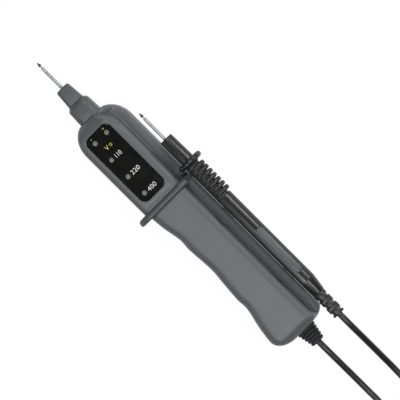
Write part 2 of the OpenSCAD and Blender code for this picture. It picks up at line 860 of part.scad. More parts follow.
// Dock clips: a tray under the barrel on a foot along the housing's side
clip_t = 1.8;
clip_gap = 0.3;
clip_open_angle = 38;
clip_wall_t = 1.7;
clip_base = peg_z - peg_r - 2 * fit;
clip_drop = 3.5;
clip_top = probe_z - clip_drop;
module dock_clip(x) {
    inner = barrel_d / 2 + clip_gap;
    translate([x - clip_w / 2, 0, 0]) rotate([90, 0, 90]) linear_extrude(height = clip_w) {
        translate([probe_y, probe_z]) difference() {
            circle(r = inner + clip_t);
            circle(r = inner);
            translate([-2 * inner, clip_top - probe_z]) square([4 * inner, 2 * inner]);
            rotate(clip_open_angle - 90) translate([-2 * inner, 0]) square([4 * inner, 2 * inner]);
            translate([-2 * inner, -2 * inner])
                square([2 * inner - (probe_y - half_w - fit), 4 * inner]);
        }
        translate([half_w + fit, clip_base]) square([clip_wall_t, clip_top - clip_base]);
    }
    translate([x, half_w + fit + clip_wall_t / 2, peg_z]) rotate([90, 0, 0])
        cylinder(h = peg_len + clip_wall_t / 2, r = peg_r);
}
module front_dock_clip() color("#5d5f64") dock_clip(front_clip_x);
module rear_dock_clip() color("#5d5f64") dock_clip(rear_clip_x);

// Second probe, along +X from the front of its sleeve
bore_r = 1.7;
sleeve_pin = 9;
lead_sink = 15;
module at_probe(x) translate([x, probe_y, probe_z]) children();
module flat_side(distance, from, to) {
    translate([from, probe_y - distance, 0])
        cube([to - from, 2 * disc_d, probe_z + disc_d]);
}

// Front sleeve, a slim cone with a flat side
sleeve_front_share = 0.93;
module probe_sleeve() color("#1e1f21") difference() {
    intersection() {
        at_probe(sleeve_x) rotate([0, 90, 0])
            cylinder(h = sleeve_len, r1 = sleeve_d / 2 * sleeve_front_share, r2 = sleeve_d / 2);
        flat_side(flat_dist, sleeve_x - over, disc_x + over);
    }
    rod(sleeve_x - over, probe_y, probe_z, stud_r + screw_gap, sleeve_pin + over);
    rod(sleeve_x + sleeve_pin, probe_y, probe_z, bore_r, sleeve_len - sleeve_pin + over);
}

// Guard disc with a rounded rim
module probe_guard() color("#1b1c1e") difference() {
    at_probe(disc_x) rotate([0, 90, 0]) rotate_extrude() {
        square([disc_d / 2 - disc_t / 2, disc_t]);
        translate([disc_d / 2 - disc_t / 2, disc_t / 2]) intersection() {
            circle(r = disc_t / 2);
            translate([0, -disc_t]) square([disc_t, 2 * disc_t]);
        }
    }
    rod(disc_x - over, probe_y, probe_z, bore_r, disc_t + 2 * over);
}

// Ribbed grip: a core with flat side and a row of rounded ribs
rib_flat_dist = 5.1;
rib_round_share = 0.3;
module probe_grip() color("#1d1e20") {
    length = barrel_x - grip_x;
    round_r = rib_t * rib_round_share;
    difference() {
        union() {
            intersection() {
                rod(grip_x, probe_y, probe_z, grip_core_d / 2, length);
                flat_side(flat_dist, grip_x - over, barrel_x + over);
            }
            intersection() {
                for (i = [0:rib_count - 1])
                    at_probe(grip_x + first_rib + i * rib_pitch - rib_t / 2)
                        rotate([0, 90, 0]) rotate_extrude() {
                            translate([bore_r, 0]) square([rib_d / 2 - round_r - bore_r, rib_t]);
                            translate([bore_r, round_r])
                                square([rib_d / 2 - bore_r, rib_t - 2 * round_r]);
                            for (z = [round_r, rib_t - round_r])
                                translate([rib_d / 2 - round_r, z]) circle(r = round_r);
                        }
                flat_side(rib_flat_dist, grip_x - over, barrel_x + over);
            }
        }
        rod(grip_x - over, probe_y, probe_z, bore_r, length + 2 * over);
    }
}

// Barrel with flat side, tapered end and the pocket of the thumb plaque
barrel_end_share = 0.74;
plaque_angle = 25;
plaque_back = 27.3;
plaque_x = barrel_x + plaque_back + plaque_len / 2;
plaque_seat = 4.7;
plaque_t = 0.6;
plaque_round_share = 0.46;
module at_plaque(lift) translate([plaque_x, probe_y, probe_z]) rotate([-plaque_angle, 0, 0])
    translate([0, 0, lift]) children();
module probe_barrel() color("#1e1f21") difference() {
    intersection() {
        union() {
            rod(barrel_x, probe_y, probe_z, barrel_d / 2, barrel_len - taper_len);
            at_probe(barrel_end - taper_len) rotate([0, 90, 0])
                cylinder(h = taper_len, r1 = barrel_d / 2, r2 = barrel_d / 2 * barrel_end_share);
        }
        flat_side(flat_dist, barrel_x - over, barrel_end + over);
    }
    rod(barrel_x - over, probe_y, probe_z, bore_r, barrel_len + 2 * over);
    rod(barrel_end - lead_sink, probe_y, probe_z, lead_d / 2 + tiny, lead_sink + over);
    at_plaque(plaque_seat)
        rounded_plate(plaque_len + 2 * fit, plaque_w + 2 * fit, plaque_w * plaque_round_share + fit,
            barrel_d / 4);
}
module probe_plaque() color("#5b5c5e") at_plaque(plaque_seat)
    rounded_plate(plaque_len, plaque_w, plaque_w * plaque_round_share, plaque_t);

module probe_tip() color("#b9bcc0") at_probe(sleeve_x - probe_pin_len)
    contact_pin(probe_pin_len, sleeve_pin);

// Inside the probe: pin holder, wire and the sheathed end of the lead
holder_len = 50;
holder_x = sleeve_x + sleeve_pin;
module probe_pin_holder() color("#c9a349")
    rod(holder_x, probe_y, probe_z, bore_r - tiny, holder_len);
module probe_core() color("#b9733f")
    rod(holder_x + holder_len, probe_y, probe_z, core_r,
        barrel_end - lead_sink - holder_x - holder_len);
module probe_lead_end() color("#26262a")
    rod(barrel_end - lead_sink, probe_y, probe_z, lead_d / 2, lead_sink + probe_relief_len);

// Strain relief of the probe: a sleeve with slots cut from alternate sides
probe_relief_d = 7.8;
slot_w = 1.7;
slot_depth = 1.1;
slot_first = 3.5;
slot_pitch = 2.85;
slot_count = 5;
module probe_relief() color("#232427") difference() {
    rod(barrel_end, probe_y, probe_z, probe_relief_d / 2, probe_relief_len);
    rod(barrel_end - over, probe_y, probe_z, lead_d / 2 + tiny, probe_relief_len + 2 * over);
    for (i = [0:slot_count - 1], s = [-1, 1])
        translate([barrel_end + slot_first + i * slot_pitch, probe_y, probe_z])
            rotate([i % 2 == 0 ? 0 : 90, 0, 0])
                translate([-slot_w / 2, s * (probe_relief_d - slot_depth) - probe_relief_d / 2,
                    -probe_relief_d])
                    cube([slot_w, probe_relief_d, 2 * probe_relief_d]);
}

// A tube swept along a list of points, each ring square to the route
function unit(v) = v / norm(v);
function along(path, i) = unit(path[min(i + 1, len(path) - 1)] - path[max(i - 1, 0)]);
module swept_tube(path, r, sides) {
    n = len(path);
    rings = [
        for (i = [0:n - 1])
        let (
            t = along(path, i),
            u = unit(cross([0, 0, 1], t)),
            v = cross(t, u)
        )
        for (j = [0:sides - 1])
        let (a = 360 * (j + 1 / 2) / sides)
        path[i] + r * (cos(a) * u + sin(a) * v)
    ];
    walls = [
        for (i = [0:n - 2], j = [0:sides - 1])
        let (
            a = i * sides + j,
            b = i * sides + (j + 1) % sides
        )
        each [[a, b + sides, b], [a, a + sides, b + sides]]
    ];
    polyhedron(rings, concat(
        walls,
        [
            [for (j = [0:sides - 1]) j],
            [for (j = [0:sides - 1]) n * sides - 1 - j]
        ]
    ));
}

// Coil of the lead: spirals in on the floor, climbs a layer at its heart, spirals out
coil_x = 222;
coil_y = 10;
coil_out_r = 28.5;
coil_pitch = 4.6;
coil_start_angle = 90;
coil_turn_count = 5 / 2;
tie_t = 0.5;
coil_floor = lead_d / 2 + tie_t + fit;
coil_step_count = 24;
coil_side_count = 6;
coil_in_r = coil_out_r - coil_turn_count * coil_pitch;
coil_total_count = 2 * coil_turn_count + 1 / 2;
function coil_radius(t) =
    t < coil_turn_count ? coil_out_r - coil_pitch * t
    : t < coil_turn_count + 1 / 2
        ? coil_in_r - coil_pitch * (t - coil_turn_count) * (1 - 2 * (t - coil_turn_count))
    : coil_in_r + coil_pitch * (t - coil_turn_count - 1 / 2);
function coil_point(t) =
    let (a = 360 * t - coil_start_angle)
    [
        coil_x + coil_radius(t) * cos(a),
        coil_y + coil_radius(t) * sin(a),
        coil_floor + coil_pitch * ease((t - coil_turn_count) * 2)
    ];
coil_path = concat(
    [coil_point(0) - [lead_d, 0, 0]],
    [for (i = [0:coil_total_count * coil_step_count]) coil_point(i / coil_step_count)],
    [coil_point(coil_total_count) - [lead_d, 0, 0]]
);
coil_gap = min([
    for (i = [0:len(coil_path) - 1], j = [i + coil_step_count / 2:1:len(coil_path) - 1])
    norm(coil_path[i] - coil_path[j])
]) - lead_d;
echo(least_gap_of_coil_mm = coil_gap);
module lead_coil() color("#232327") swept_tube(coil_path, lead_d / 2, coil_side_count);

// Tie round the coil's bundle
tie_w = 3.5;
module coil_tie() color("#3a3a3e") {
    inner = coil_in_r - lead_d / 2 - 3 * fit;
    outer = coil_out_r + lead_d / 2 + 3 * fit;
    height = coil_floor + coil_pitch + lead_d / 2 + 3 * fit;
    translate([coil_x, coil_y - tie_w / 2, 0]) difference() {
        translate([inner - tie_t, 0, 0]) cube([outer - inner + 2 * tie_t, tie_w, height + tie_t]);
        translate([inner, -over, tie_t])
            cube([outer - inner, tie_w + 2 * over, height - tie_t]);
    }
}

// Free stretches of the lead, by hand in round numbers
body_route = [
    [116, 0.8, 10], [120, 0.8, 10], [124, 0.8, 9.7], [130, 0.7, 8.6], [137, 0.5, 6.7],
    [144, 0.3, 4.7], [151, 0.1, 3.1], [158, 0, 2.3], [165, 0, 2.1], [172, -0.8, 2.1],
    [179, -2.8, 2.1], [186, -6, 2.1], [193, -10, 2.1], [200, -14, 2.1], [207, -17, 2.3],
    [213, -18.5, 2.5], [218, -18.5, 2.5]
];
probe_route = [
    [112.6, 22.6, 22], [117, 22.6, 22], [121, 22.5, 21.4], [126, 22.3, 19.6],
    [132, 22, 16.6], [138, 21.6, 13.2], [144, 21.2, 9.8], [150, 20.8, 6.6], [156, 20.5, 4.1],
    [162, 20.2, 2.6], [168, 20.1, 2.1], [175, 20.8, 2.1], [182, 23, 2.1], [189, 26.6, 2.2],
    [196, 30.8, 3.1], [203, 34.8, 4.6], [208, 37.4, 6.1], [213, 38.5, 7.1], [218, 38.5, 7.1]
];
route_side_count = 8;
module lead_from_body() color("#232327") swept_tube(body_route, lead_d / 2, route_side_count);
module lead_to_probe() color("#232327") swept_tube(probe_route, lead_d / 2, route_side_count);

front_cover();
rear_cover();
finger_guard();
display_panel();
nose_collar();
nose_cone();
main_tip();
tip_socket();
circuit_board();
lamp_carrier();
polarity_lamps();
voltage_lamps();
series_resistors();
rectifier_diodes();
lead_core();
lead_inner_end();
cable_clamp();
clamp_screws();
cover_screws();
body_relief();
front_dock_clip();
rear_dock_clip();
probe_sleeve();
probe_guard();
probe_grip();
probe_barrel();
probe_plaque();
probe_tip();
probe_pin_holder();
probe_core();
probe_lead_end();
probe_relief();
lead_from_body();
lead_coil();
coil_tie();
lead_to_probe();
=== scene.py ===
"""Two-pole voltage tester: its finished looks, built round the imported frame."""

import math

import bmesh
import bpy
from bpy.props import FloatProperty, FloatVectorProperty, PointerProperty
from mathutils import Matrix, Vector


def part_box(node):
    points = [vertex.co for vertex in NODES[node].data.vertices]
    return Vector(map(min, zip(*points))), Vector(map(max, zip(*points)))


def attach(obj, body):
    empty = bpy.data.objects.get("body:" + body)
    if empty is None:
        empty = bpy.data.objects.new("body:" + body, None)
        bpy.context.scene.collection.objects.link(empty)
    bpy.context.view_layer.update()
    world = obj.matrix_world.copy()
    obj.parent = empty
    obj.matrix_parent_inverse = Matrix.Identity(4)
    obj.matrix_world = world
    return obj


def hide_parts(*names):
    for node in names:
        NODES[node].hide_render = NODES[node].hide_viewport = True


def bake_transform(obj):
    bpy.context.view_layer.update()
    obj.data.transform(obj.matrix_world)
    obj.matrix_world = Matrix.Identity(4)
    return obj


bl_info = {
    "name": "Two-pole voltage tester",
    "version": (1, 0, 0),
    "blender": (4, 5, 0),
    "location": "3D View > Sidebar > Tester",
    "description": "Builds the looks of a two-pole voltage tester round its packed frame",
    "category": "Object",
}

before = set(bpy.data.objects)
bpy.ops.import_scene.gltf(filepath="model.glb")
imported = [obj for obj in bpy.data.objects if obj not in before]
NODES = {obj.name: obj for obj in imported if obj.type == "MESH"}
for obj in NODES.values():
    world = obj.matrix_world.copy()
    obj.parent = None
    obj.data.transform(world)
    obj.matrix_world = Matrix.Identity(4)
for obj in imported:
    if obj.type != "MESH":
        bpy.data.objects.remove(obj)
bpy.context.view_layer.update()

MM = 0.001
TESTER = "tester"
PROBE = "second_probe"


# Small helpers

def linear(code):
    """Linear red, green and blue of an sRGB hex value."""
    parts = [int(code[i:i + 2], 16) / 255 for i in (1, 3, 5)]
    return [p / 12.92 if p <= 0.04045 else ((p + 0.055) / 1.055) ** 2.4 for p in parts]


def length(name, description, millimetres):
    """A length that a user may change, given in millimetres and kept in metres."""
    return FloatProperty(name=name, description=description, default=millimetres * MM,
                         min=0.0, precision=5, unit="LENGTH")


def colour(name, description, code):
    """A colour that a user may change, given as an sRGB hex value."""
    return FloatVectorProperty(name=name, description=description, default=linear(code),
                               min=0.0, max=1.0, size=3, subtype="COLOR")


class TesterSizes(bpy.types.PropertyGroup):
    """Sizes of the finish that the CAD frame doesn't fix"""
    parting_groove: length("Parting groove", "Chamfer along the joint of the two covers", 0.3)
    clip_soft: length("Clip softness", "Rounding of the dock clips' edges", 0.3)
    guard_front: length("Guard front", "Rounding of the finger guard's front edge", 2.2)
    guard_back: length("Guard back", "Rounding of the finger guard's back edge", 1.2)
    nose_soft: length("Nose softness", "Rounding of the facets on collar and cone", 0.32)
    rim_width: length("Rim width", "Width of the raised rim round the display", 0.6)
    rim_rise: length("Rim rise", "Height of the rim above the display face", 0.15)
    digit_height: length("Digit height", "Height of the numbers on the display", 2.75)
    ink_thickness: length("Ink thickness", "Height of the marks above the display", 0.03)
    lead_diameter: length("Lead diameter", "Thickness of the test lead", 3.8)


class TesterColours(bpy.types.PropertyGroup):
    """Colours of the finishes"""
    housing: colour("Housing", "Moulded covers and the display's rim", "#525459")
    guard: colour("Finger guard", "Plate round the housing", "#424448")
    nose: colour("Nose", "Collar and nose cone", "#484a4e")
    panel: colour("Display panel", "Glossy window over the lamps", "#141413")
    lamp: colour("Lamps", "Unlit lamps", "#666665")
    number: colour("Numbers", "Print of the voltage numbers", "#f2f2ee")
    sign: colour("Signs", "Print of the unit and the polarity signs", "#dcdc62")
    probe: colour("Second probe", "Handle of the second probe", "#161617")
    plaque: colour("Thumb plaque", "Inlay on the second probe", "#4a4b4d")
    relief: colour("Strain reliefs", "Soft sleeves over the lead's ends", "#18191e")
    lead: colour("Lead", "Sheath of the test lead", "#17171a")
    strap: colour("Strap", "Strap round the coiled lead", "#3a3a3e")
    steel: colour("Steel", "Plated contact pins and screws", "#b2b4b6")
    pin_head: colour("Pin heads", "Dark heads of the contact pins", "#56575a")
    brass: colour("Brass", "Socket and pin holder", "#c9a349")


# Work on objects

def chosen(context):
    """The sizes and colours that are set in the scene."""
    return context.scene.tester_sizes, context.scene.tester_colours


def pick_none():
    """Deselects everything, in object mode."""
    if bpy.context.object and bpy.context.mode != "OBJECT":
        bpy.ops.object.mode_set(mode="OBJECT")
    bpy.ops.object.select_all(action="DESELECT")


def pick(obj):
    """Selects one object alone and makes it active, in object mode."""
    pick_none()
    obj.select_set(True)
    bpy.context.view_layer.objects.active = obj


def last_made(name):
    """Names the object that an add operator has just made."""
    obj = bpy.context.object
    obj.name = name
    obj.data.name = name
    return obj


def mesh_object(name, points, edges=(), faces=()):
    """A new object from points in millimetres."""
    mesh = bpy.data.meshes.new(name)
    mesh.from_pydata([Vector(p) * MM for p in points], edges, faces)
    obj = bpy.data.objects.new(name, mesh)
    bpy.context.scene.collection.objects.link(obj)
    return obj


def place(obj):
    """Moves an object's place, turn and scale into its mesh."""
    pick(obj)
    bpy.ops.object.transform_apply(location=True, rotation=True, scale=True)
    return obj


def modify(obj, kind, **settings):
    """Adds a modifier with its settings and applies it."""
    pick(obj)
    bpy.ops.object.modifier_add(type=kind)
    modifier = obj.modifiers[-1]
    for key, value in settings.items():
        setattr(modifier, key, value)
    bpy.ops.object.modifier_apply(modifier=modifier.name)
    return obj


def edited(obj, *steps):
    """Runs steps in edit mode, each an operator and its settings, on the whole mesh."""
    pick(obj)
    bpy.ops.object.mode_set(mode="EDIT")
    for operator, settings in steps:
        bpy.ops.mesh.select_all(action="SELECT")
        operator(**settings)
    bpy.ops.object.mode_set(mode="OBJECT")
    return obj


MERGE = (bpy.ops.mesh.remove_doubles, {"threshold": 0.002 * MM})


def merged(obj):
    """Merges doubles and turns faces outwards."""
    return edited(obj, MERGE, (bpy.ops.mesh.normals_make_consistent, {"inside": False}))


def bevel_edges(obj, width, segments, test):
    """Rounds by a width in metres the edges whose ends, in millimetres, pass the test."""
    pick(obj)
    bpy.ops.object.mode_set(mode="EDIT")
    bpy.ops.mesh.select_mode(type="EDGE")
    bpy.ops.mesh.select_all(action="DESELECT")
    shape = bmesh.from_edit_mesh(obj.data)
    for edge in shape.edges:
        if test(*(vertex.co / MM for vertex in edge.verts)):
            edge.select_set(True)
    bmesh.update_edit_mesh(obj.data)
    bpy.ops.mesh.bevel(offset=width, segments=segments, profile=0.5, affect="EDGES",
                       clamp_overlap=False)
    bpy.ops.object.mode_set(mode="OBJECT")
    return obj


def joined(name, parts):
    """Joins objects into one."""
    pick(parts[0])
    for part in parts:
        part.select_set(True)
    bpy.ops.object.join()
    return last_made(name)


def boolean(obj, cutter, operation="DIFFERENCE"):
    """Cuts one object by another, or adds it, and removes the other."""
    modify(obj, "BOOLEAN", object=cutter, operation=operation, solver="EXACT")
    bpy.data.objects.remove(cutter)
    return obj


def block(name, low, high):
    """A box between two corners in millimetres."""
    low, high = Vector(low), Vector(high)
    pick_none()
    bpy.ops.mesh.primitive_cube_add(size=1, location=(low + high) / 2 * MM)
    obj = last_made(name)
    obj.scale = (high - low) * MM
    return place(obj)


def cylinder(name, centre, depth, radius, sides, rotation=(0, 0, 0)):
    """A round cylinder about its centre; in millimetres."""
    pick_none()
    bpy.ops.mesh.primitive_cylinder_add(
        vertices=sides, radius=radius * MM, depth=depth * MM,
        location=Vector(centre) * MM, rotation=rotation)
    return place(last_made(name))


def post(name, x, y, z_low, z_high, radius, sides=48):
    """An upright round post; all in millimetres."""
    return cylinder(name, (x, y, (z_low + z_high) / 2), z_high - z_low, radius, sides)


def posts(places, z_low, z_high, radius):
    """Upright round posts of one height at several places; all in millimetres."""
    return [post("post", x, y, z_low, z_high, radius) for x, y in places]


def lying_post(name, start, depth, radius, turn="X", sides=48):
    """A round post that lies along X or Y, from its starting point; in millimetres."""
    along = Vector((1, 0, 0)) if turn == "X" else Vector((0, 1, 0))
    rotation = (0, math.pi / 2, 0) if turn == "X" else (math.pi / 2, 0, 0)
    return cylinder(name, Vector(start) + along * depth / 2, depth, radius, sides, rotation)


def plate(name, centre, size, corner, z_low, z_high, steps=8):
    """A plate with rounded corners; all in millimetres."""
    half = Vector((size[0] / 2, size[1] / 2))
    obj = block(name, (centre[0] - half.x, centre[1] - half.y, z_low),
                (centre[0] + half.x, centre[1] + half.y, z_high))
    return bevel_edges(obj, corner * MM, steps, lambda a, b: abs(a.z - b.z) > 0.01)


def spun(name, profile, centre, steps=64):
    """Spins a closed profile of (x, radius) pairs about a line along X; millimetres."""
    count = len(profile)
    obj = mesh_object(name, [(x, 0, r) for x, r in profile],
                      [(i, (i + 1) % count) for i in range(count)])
    merged(edited(obj, (bpy.ops.mesh.spin, {
        "steps": steps, "angle": 2 * math.pi, "center": (0, 0, 0), "axis": (1, 0, 0)})))
    obj.location = Vector(centre) * MM
    return place(obj)


def slab(name, outline, x_low, x_high):
    """A slab across X from a closed outline of (y, z) points; all in millimetres."""
    obj = mesh_object(name, [(x_low, y, z) for y, z in outline],
                      faces=[list(range(len(outline)))])
    return merged(edited(obj, (bpy.ops.mesh.extrude_region_move, {
        "TRANSFORM_OT_translate": {"value": ((x_high - x_low) * MM, 0, 0)}})))


def above(z):
    """Test for the edges that lie above a height."""
    return lambda a, b: min(a.z, b.z) > z


def dress(obj, material, body, nodes=(), angle=30):
    """Gives a finished piece its shading and material, and a body if any."""
    obj.data.materials.clear()
    obj.data.materials.append(material)
    pick(obj)
    bpy.ops.object.shade_smooth_by_angle(angle=math.radians(angle))
    if body:
        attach(obj, body)
    if nodes:
        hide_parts(*nodes)
    return obj


def softened(node, name, width, segments, material, body, angle=35):
    """A finished copy of a CAD node, its edges sharper than the angle rounded."""
    obj = bpy.data.objects.new(name, NODES[node].data.copy())
    bpy.context.scene.collection.objects.link(obj)
    pick(obj)
    bpy.ops.mesh.customdata_custom_splitnormals_clear()
    edited(obj, MERGE, (bpy.ops.mesh.dissolve_limited, {"angle_limit": math.radians(0.5)}))
    modify(obj, "BEVEL", width=width, segments=segments, limit_method="ANGLE",
           angle_limit=math.radians(angle), use_clamp_overlap=False)
    return dress(obj, material, body, [node])


# Materials. A pattern is the size of its grains in millimetres, its detail and its
# stretch, as grain takes them

def add(tree, kind, inputs=None, links=None, **settings):
    """Adds one node with its settings, its values and its incoming links."""
    node = tree.nodes.new(kind)
    for key, value in settings.items():
        setattr(node, key, value)
    for key, value in (inputs or {}).items():
        node.inputs[key].default_value = value
    for key, socket in (links or {}).items():
        tree.links.new(socket, node.inputs[key])
    return node


def blank(name):
    """A new material without nodes, and its tree."""
    material = bpy.data.materials.new(name)
    material.use_nodes = True
    material.node_tree.nodes.clear()
    return material, material.node_tree


def grain(tree, size, detail=2.0, stretch=(1, 1, 1)):
    """Noise on Object coordinates whose grains are about the size given."""
    here = add(tree, "ShaderNodeTexCoord")
    turned = add(tree, "ShaderNodeMapping", {"Scale": stretch},
                 {"Vector": here.outputs["Object"]})
    return add(tree, "ShaderNodeTexNoise", {"Scale": 1 / (size * MM), "Detail": detail},
               {"Vector": turned.outputs["Vector"]}).outputs["Fac"]


def spread(tree, pattern, low, high):
    """The noise of a pattern, spread over a range."""
    return add(tree, "ShaderNodeMapRange",
               {"From Min": 0.3, "From Max": 0.7, "To Min": low, "To Max": high},
               {"Value": grain(tree, *pattern)}).outputs["Result"]


def finish(name, base, roughness, uneven=None, tone=None, relief=None, **values):
    """A new material with one shader, which may follow patterns: its roughness, by how
    much it falls and rises; its tone, by its darker share; and its relief, by a strength
    and a depth in millimetres."""
    material, tree = blank(name)
    shader = add(tree, "ShaderNodeBsdfPrincipled",
                 {"Base Color": (*base, 1), "Roughness": roughness, **values})
    add(tree, "ShaderNodeOutputMaterial", links={"Surface": shader.outputs["BSDF"]})
    if uneven:
        pattern, fall, rise = uneven
        tree.links.new(spread(tree, pattern, roughness - fall, roughness + rise),
                       shader.inputs["Roughness"])
    if tone:
        pattern, share = tone
        dark = (*[c * share for c in base], 1)
        light = (*[min(c / share, 1) for c in base], 1)
        mixed = add(tree, "ShaderNodeMix", {6: dark, 7: light},
                    {0: spread(tree, pattern, 0, 1)}, data_type="RGBA")
        tree.links.new(mixed.outputs[2], shader.inputs["Base Color"])
    if relief:
        pattern, strength, depth = relief
        raised = add(tree, "ShaderNodeBump", {"Strength": strength, "Distance": depth * MM},
                     {"Height": grain(tree, *pattern)})
        tree.links.new(raised.outputs["Normal"], shader.inputs["Normal"])
    return material


def eroded_plastic(name, base, roughness=0.43):
    """Moulded ABS from a spark-eroded mould: satin, with a fine even grain. The nylon,
    the board and the other hard parts inside share it."""
    # The real grain of about 0.15 mm is drawn at 0.5 mm, so that it shows. Faint flow
    # marks from moulding are about 9 mm across
    fine, flow = (0.5, 3.0), (9,)
    return finish(name, base, roughness, (fine, 0.06, 0.08), (flow, 0.97),
                  (fine, 0.35, 0.02), IOR=1.53)


def polished_plastic(name, base, roughness=0.3):
    """Polished black plastic: clear reflections, dulled a little by handling."""
    smear, waves = (7, 2.0, (0.3, 1, 1)), (3, 0.0)
    return finish(name, base, roughness, (smear, 0.04, 0.05), relief=(waves, 0.05, 0.02),
                  IOR=1.5)


def gloss_window(name, base):
    """Back-printed polycarbonate: a hard, mirror-smooth black window, a little smeared."""
    return finish(name, base, 0.08, ((6,), 0.02, 0.03), IOR=1.5)


def diffused_epoxy(name, base):
    """Milky epoxy of an unlit lamp: light enters and comes back softly."""
    depths = {"Subsurface Weight": 0.25, "Subsurface Scale": 1.0,
              "Subsurface Radius": (0.5 * MM, 0.5 * MM, 0.45 * MM)}
    return finish(name, base, 0.28, tone=((0.8,), 0.95), IOR=1.52, **depths)


def turned_metal(name, base, roughness):
    """Turned metal, plated or bare: its shine changes in the fine rings of the lathe."""
    # The feed of the lathe is 0.22 mm along X
    rings = (0.22, 0.0, (1, 0.02, 0.02))
    return finish(name, base, roughness, (rings, 0.05, 0.07), Metallic=1.0)


def soft_sheath(name, base, roughness=0.42):
    """Soft vinyl: dull, with a slow waviness from the extruder."""
    return finish(name, base, roughness, ((5, 1.0), 0.05, 0.1), relief=((2,), 0.1, 0.01),
                  IOR=1.5)


def printed_ink(name, base):
    """Pad-printed ink: a thin matt layer with a slightly uneven cover."""
    return finish(name, base, 0.55, tone=((0.35,), 0.93))


def woven_strap(name, base):
    """Woven nylon: dull, with ribs across the strap."""
    # Threads of about 0.5 mm
    threads = (0.5, 2.0, (1, 0.15, 1))
    return finish(name, base, 0.8, tone=(threads, 0.8), relief=(threads, 0.5, 0.1))


def seamless_paper(name):
    """Matt white paper that the camera sees glow white, and reflections dimmer."""
    material, tree = blank(name)
    paper = add(tree, "ShaderNodeBsdfDiffuse", {"Color": (0.9, 0.9, 0.9, 1)})
    glow = add(tree, "ShaderNodeEmission", {"Color": (1, 1, 1, 1), "Strength": 1.02})
    ray = add(tree, "ShaderNodeLightPath").outputs
    mirrored = add(tree, "ShaderNodeMath", operation="MAXIMUM", links={
        0: ray["Is Glossy Ray"], 1: ray["Is Transmission Ray"]})
    dimmed = add(tree, "ShaderNodeMath", {1: 0.45}, {0: mirrored.outputs[0]},
                 operation="MULTIPLY")
    seen = add(tree, "ShaderNodeMath", operation="MAXIMUM", links={
        0: ray["Is Camera Ray"], 1: dimmed.outputs[0]})
    share = add(tree, "ShaderNodeMath", {1: 0.94}, {0: seen.outputs[0]}, operation="MULTIPLY")
    both = add(tree, "ShaderNodeMixShader", links={
        0: share.outputs[0], 1: paper.outputs["BSDF"], 2: glow.outputs["Emission"]})
    add(tree, "ShaderNodeOutputMaterial", links={"Surface": both.outputs[0]})
    return material


# Housing: its cross-sections, in millimetres

def corners_of(node):
    """Lowest and highest corner of a CAD node, in millimetres."""
    low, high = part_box(node)
    return low / MM, high / MM


COVER_LOW, COVER_HIGH = corners_of("front_cover")
GUARD_LOW, GUARD_HIGH = corners_of("finger_guard")
# The housing's front lies 0.8 mm in front of its solid's, and the guard is 0.3 mm thinner
FRONT_X, END_X = COVER_LOW.x - 0.8, COVER_HIGH.x
GUARD_BACK = GUARD_HIGH.x - 0.3
HALF_W = COVER_HIGH.y
TOP_Z = COVER_HIGH.z
AXIS_Z = TOP_Z / 2
SEAM_Z = COVER_LOW.z
WALL = 2.2
NOSE_HALF = 8
SHOULDER_LEN = 15.3
BROW_LEN = 7.4
BELLY_LEN = 10
GRIP_STEP = 0.6
# The plan's two corners at the cable end, and the half widths that they end on
PLAIN_CORNER, PLAIN_END = 9, 5.3
DOCK_CORNER, DOCK_END = 7, 7.5
# The dip of the face in front of the guard starts this far from it
DIP_START = 3.2
# The dock shelf: its width, its depth below the long axis, and how far and over which
# length it climbs to the nose
SHELF_WIDTH, SHELF_DROP = 6.4, 0.5
CLIMB, CLIMB_LEN = 6.5, 7
# The riser round the panel's front corner: distance from the housing's front, then the
# place of its foot and of its upper edge towards the second probe
RISER_FOOT = [
    (0, 4.2), (2.3, 5.9), (4.5, 8.2), (6.9, 9.9), (9.2, 10.9), (11.6, 11.3), (14, 11.2),
    (17, 10.8),
]
RISER_EDGE = [
    (0, 2.6), (2.3, 3.4), (4.5, 5.0), (6.9, 6.6), (9.2, 8.0), (11.6, 9.3), (14, 10.5),
    (17, 11.4),
]
GRIP_SHARES = [
    (0, 0.921), (0.078, 0.872), (0.183, 0.756), (0.253, 0.776), (0.419, 0.715),
    (0.53, 0.773), (0.636, 0.817), (0.687, 0.797), (0.742, 0.849), (0.797, 0.936),
    (0.862, 1.006), (0.922, 1.047), (1, 1.047),
]


def held(t):
    """A share, held between 0 and 1."""
    return max(0.0, min(1.0, t))


def ease(t):
    """A share that starts and ends softly."""
    t = held(t)
    return t * t * (3 - 2 * t)


def mix(a, b, t):
    """The value at a share of the way from one to another."""
    return a + (b - a) * t


def quarter(t):
    """Height of a quarter circle at a share of its width."""
    return math.sqrt(1 - (1 - held(t)) ** 2)


def shoulder(t):
    """The rounded shoulder of the head, from its narrow front to its full width."""
    return (1 - (1 - held(t)) ** 2) ** 0.65


def curve_at(table, t):
    """A smooth curve through a table of places and values."""
    last = len(table) - 1
    i = 0
    while i < last - 1 and t >= table[i + 1][0]:
        i += 1

    def slope(k):
        a, b = table[max(k - 1, 0)], table[min(k + 1, last)]
        return (b[1] - a[1]) / (b[0] - a[0])

    (x0, y0), (x1, y1) = table[i], table[i + 1]
    s = held((t - x0) / (x1 - x0))
    m, n = slope(i) * (x1 - x0), slope(i + 1) * (x1 - x0)
    return ((2 * s ** 3 - 3 * s * s + 1) * y0 + (s ** 3 - 2 * s * s + s) * m
            + (3 * s * s - 2 * s ** 3) * y1 + (s ** 3 - s * s) * n)


def fullness(x):
    """How full the cross-section's form is: 0 at the housing's ends, 1 between."""
    return ease((x - FRONT_X) / SHOULDER_LEN) * ease((END_X - x) / DOCK_CORNER)


def plain_half(x):
    """Half width of the housing on the plain side."""
    if x <= GUARD_BACK:
        side = mix(NOSE_HALF, HALF_W, shoulder((x - FRONT_X) / SHOULDER_LEN))
    else:
        along = (x - GUARD_BACK - GRIP_STEP) / (END_X - GUARD_BACK - GRIP_STEP)
        side = HALF_W * curve_at(GRIP_SHARES, held(along))
    return mix(PLAIN_END, side, quarter((END_X - x) / PLAIN_CORNER))


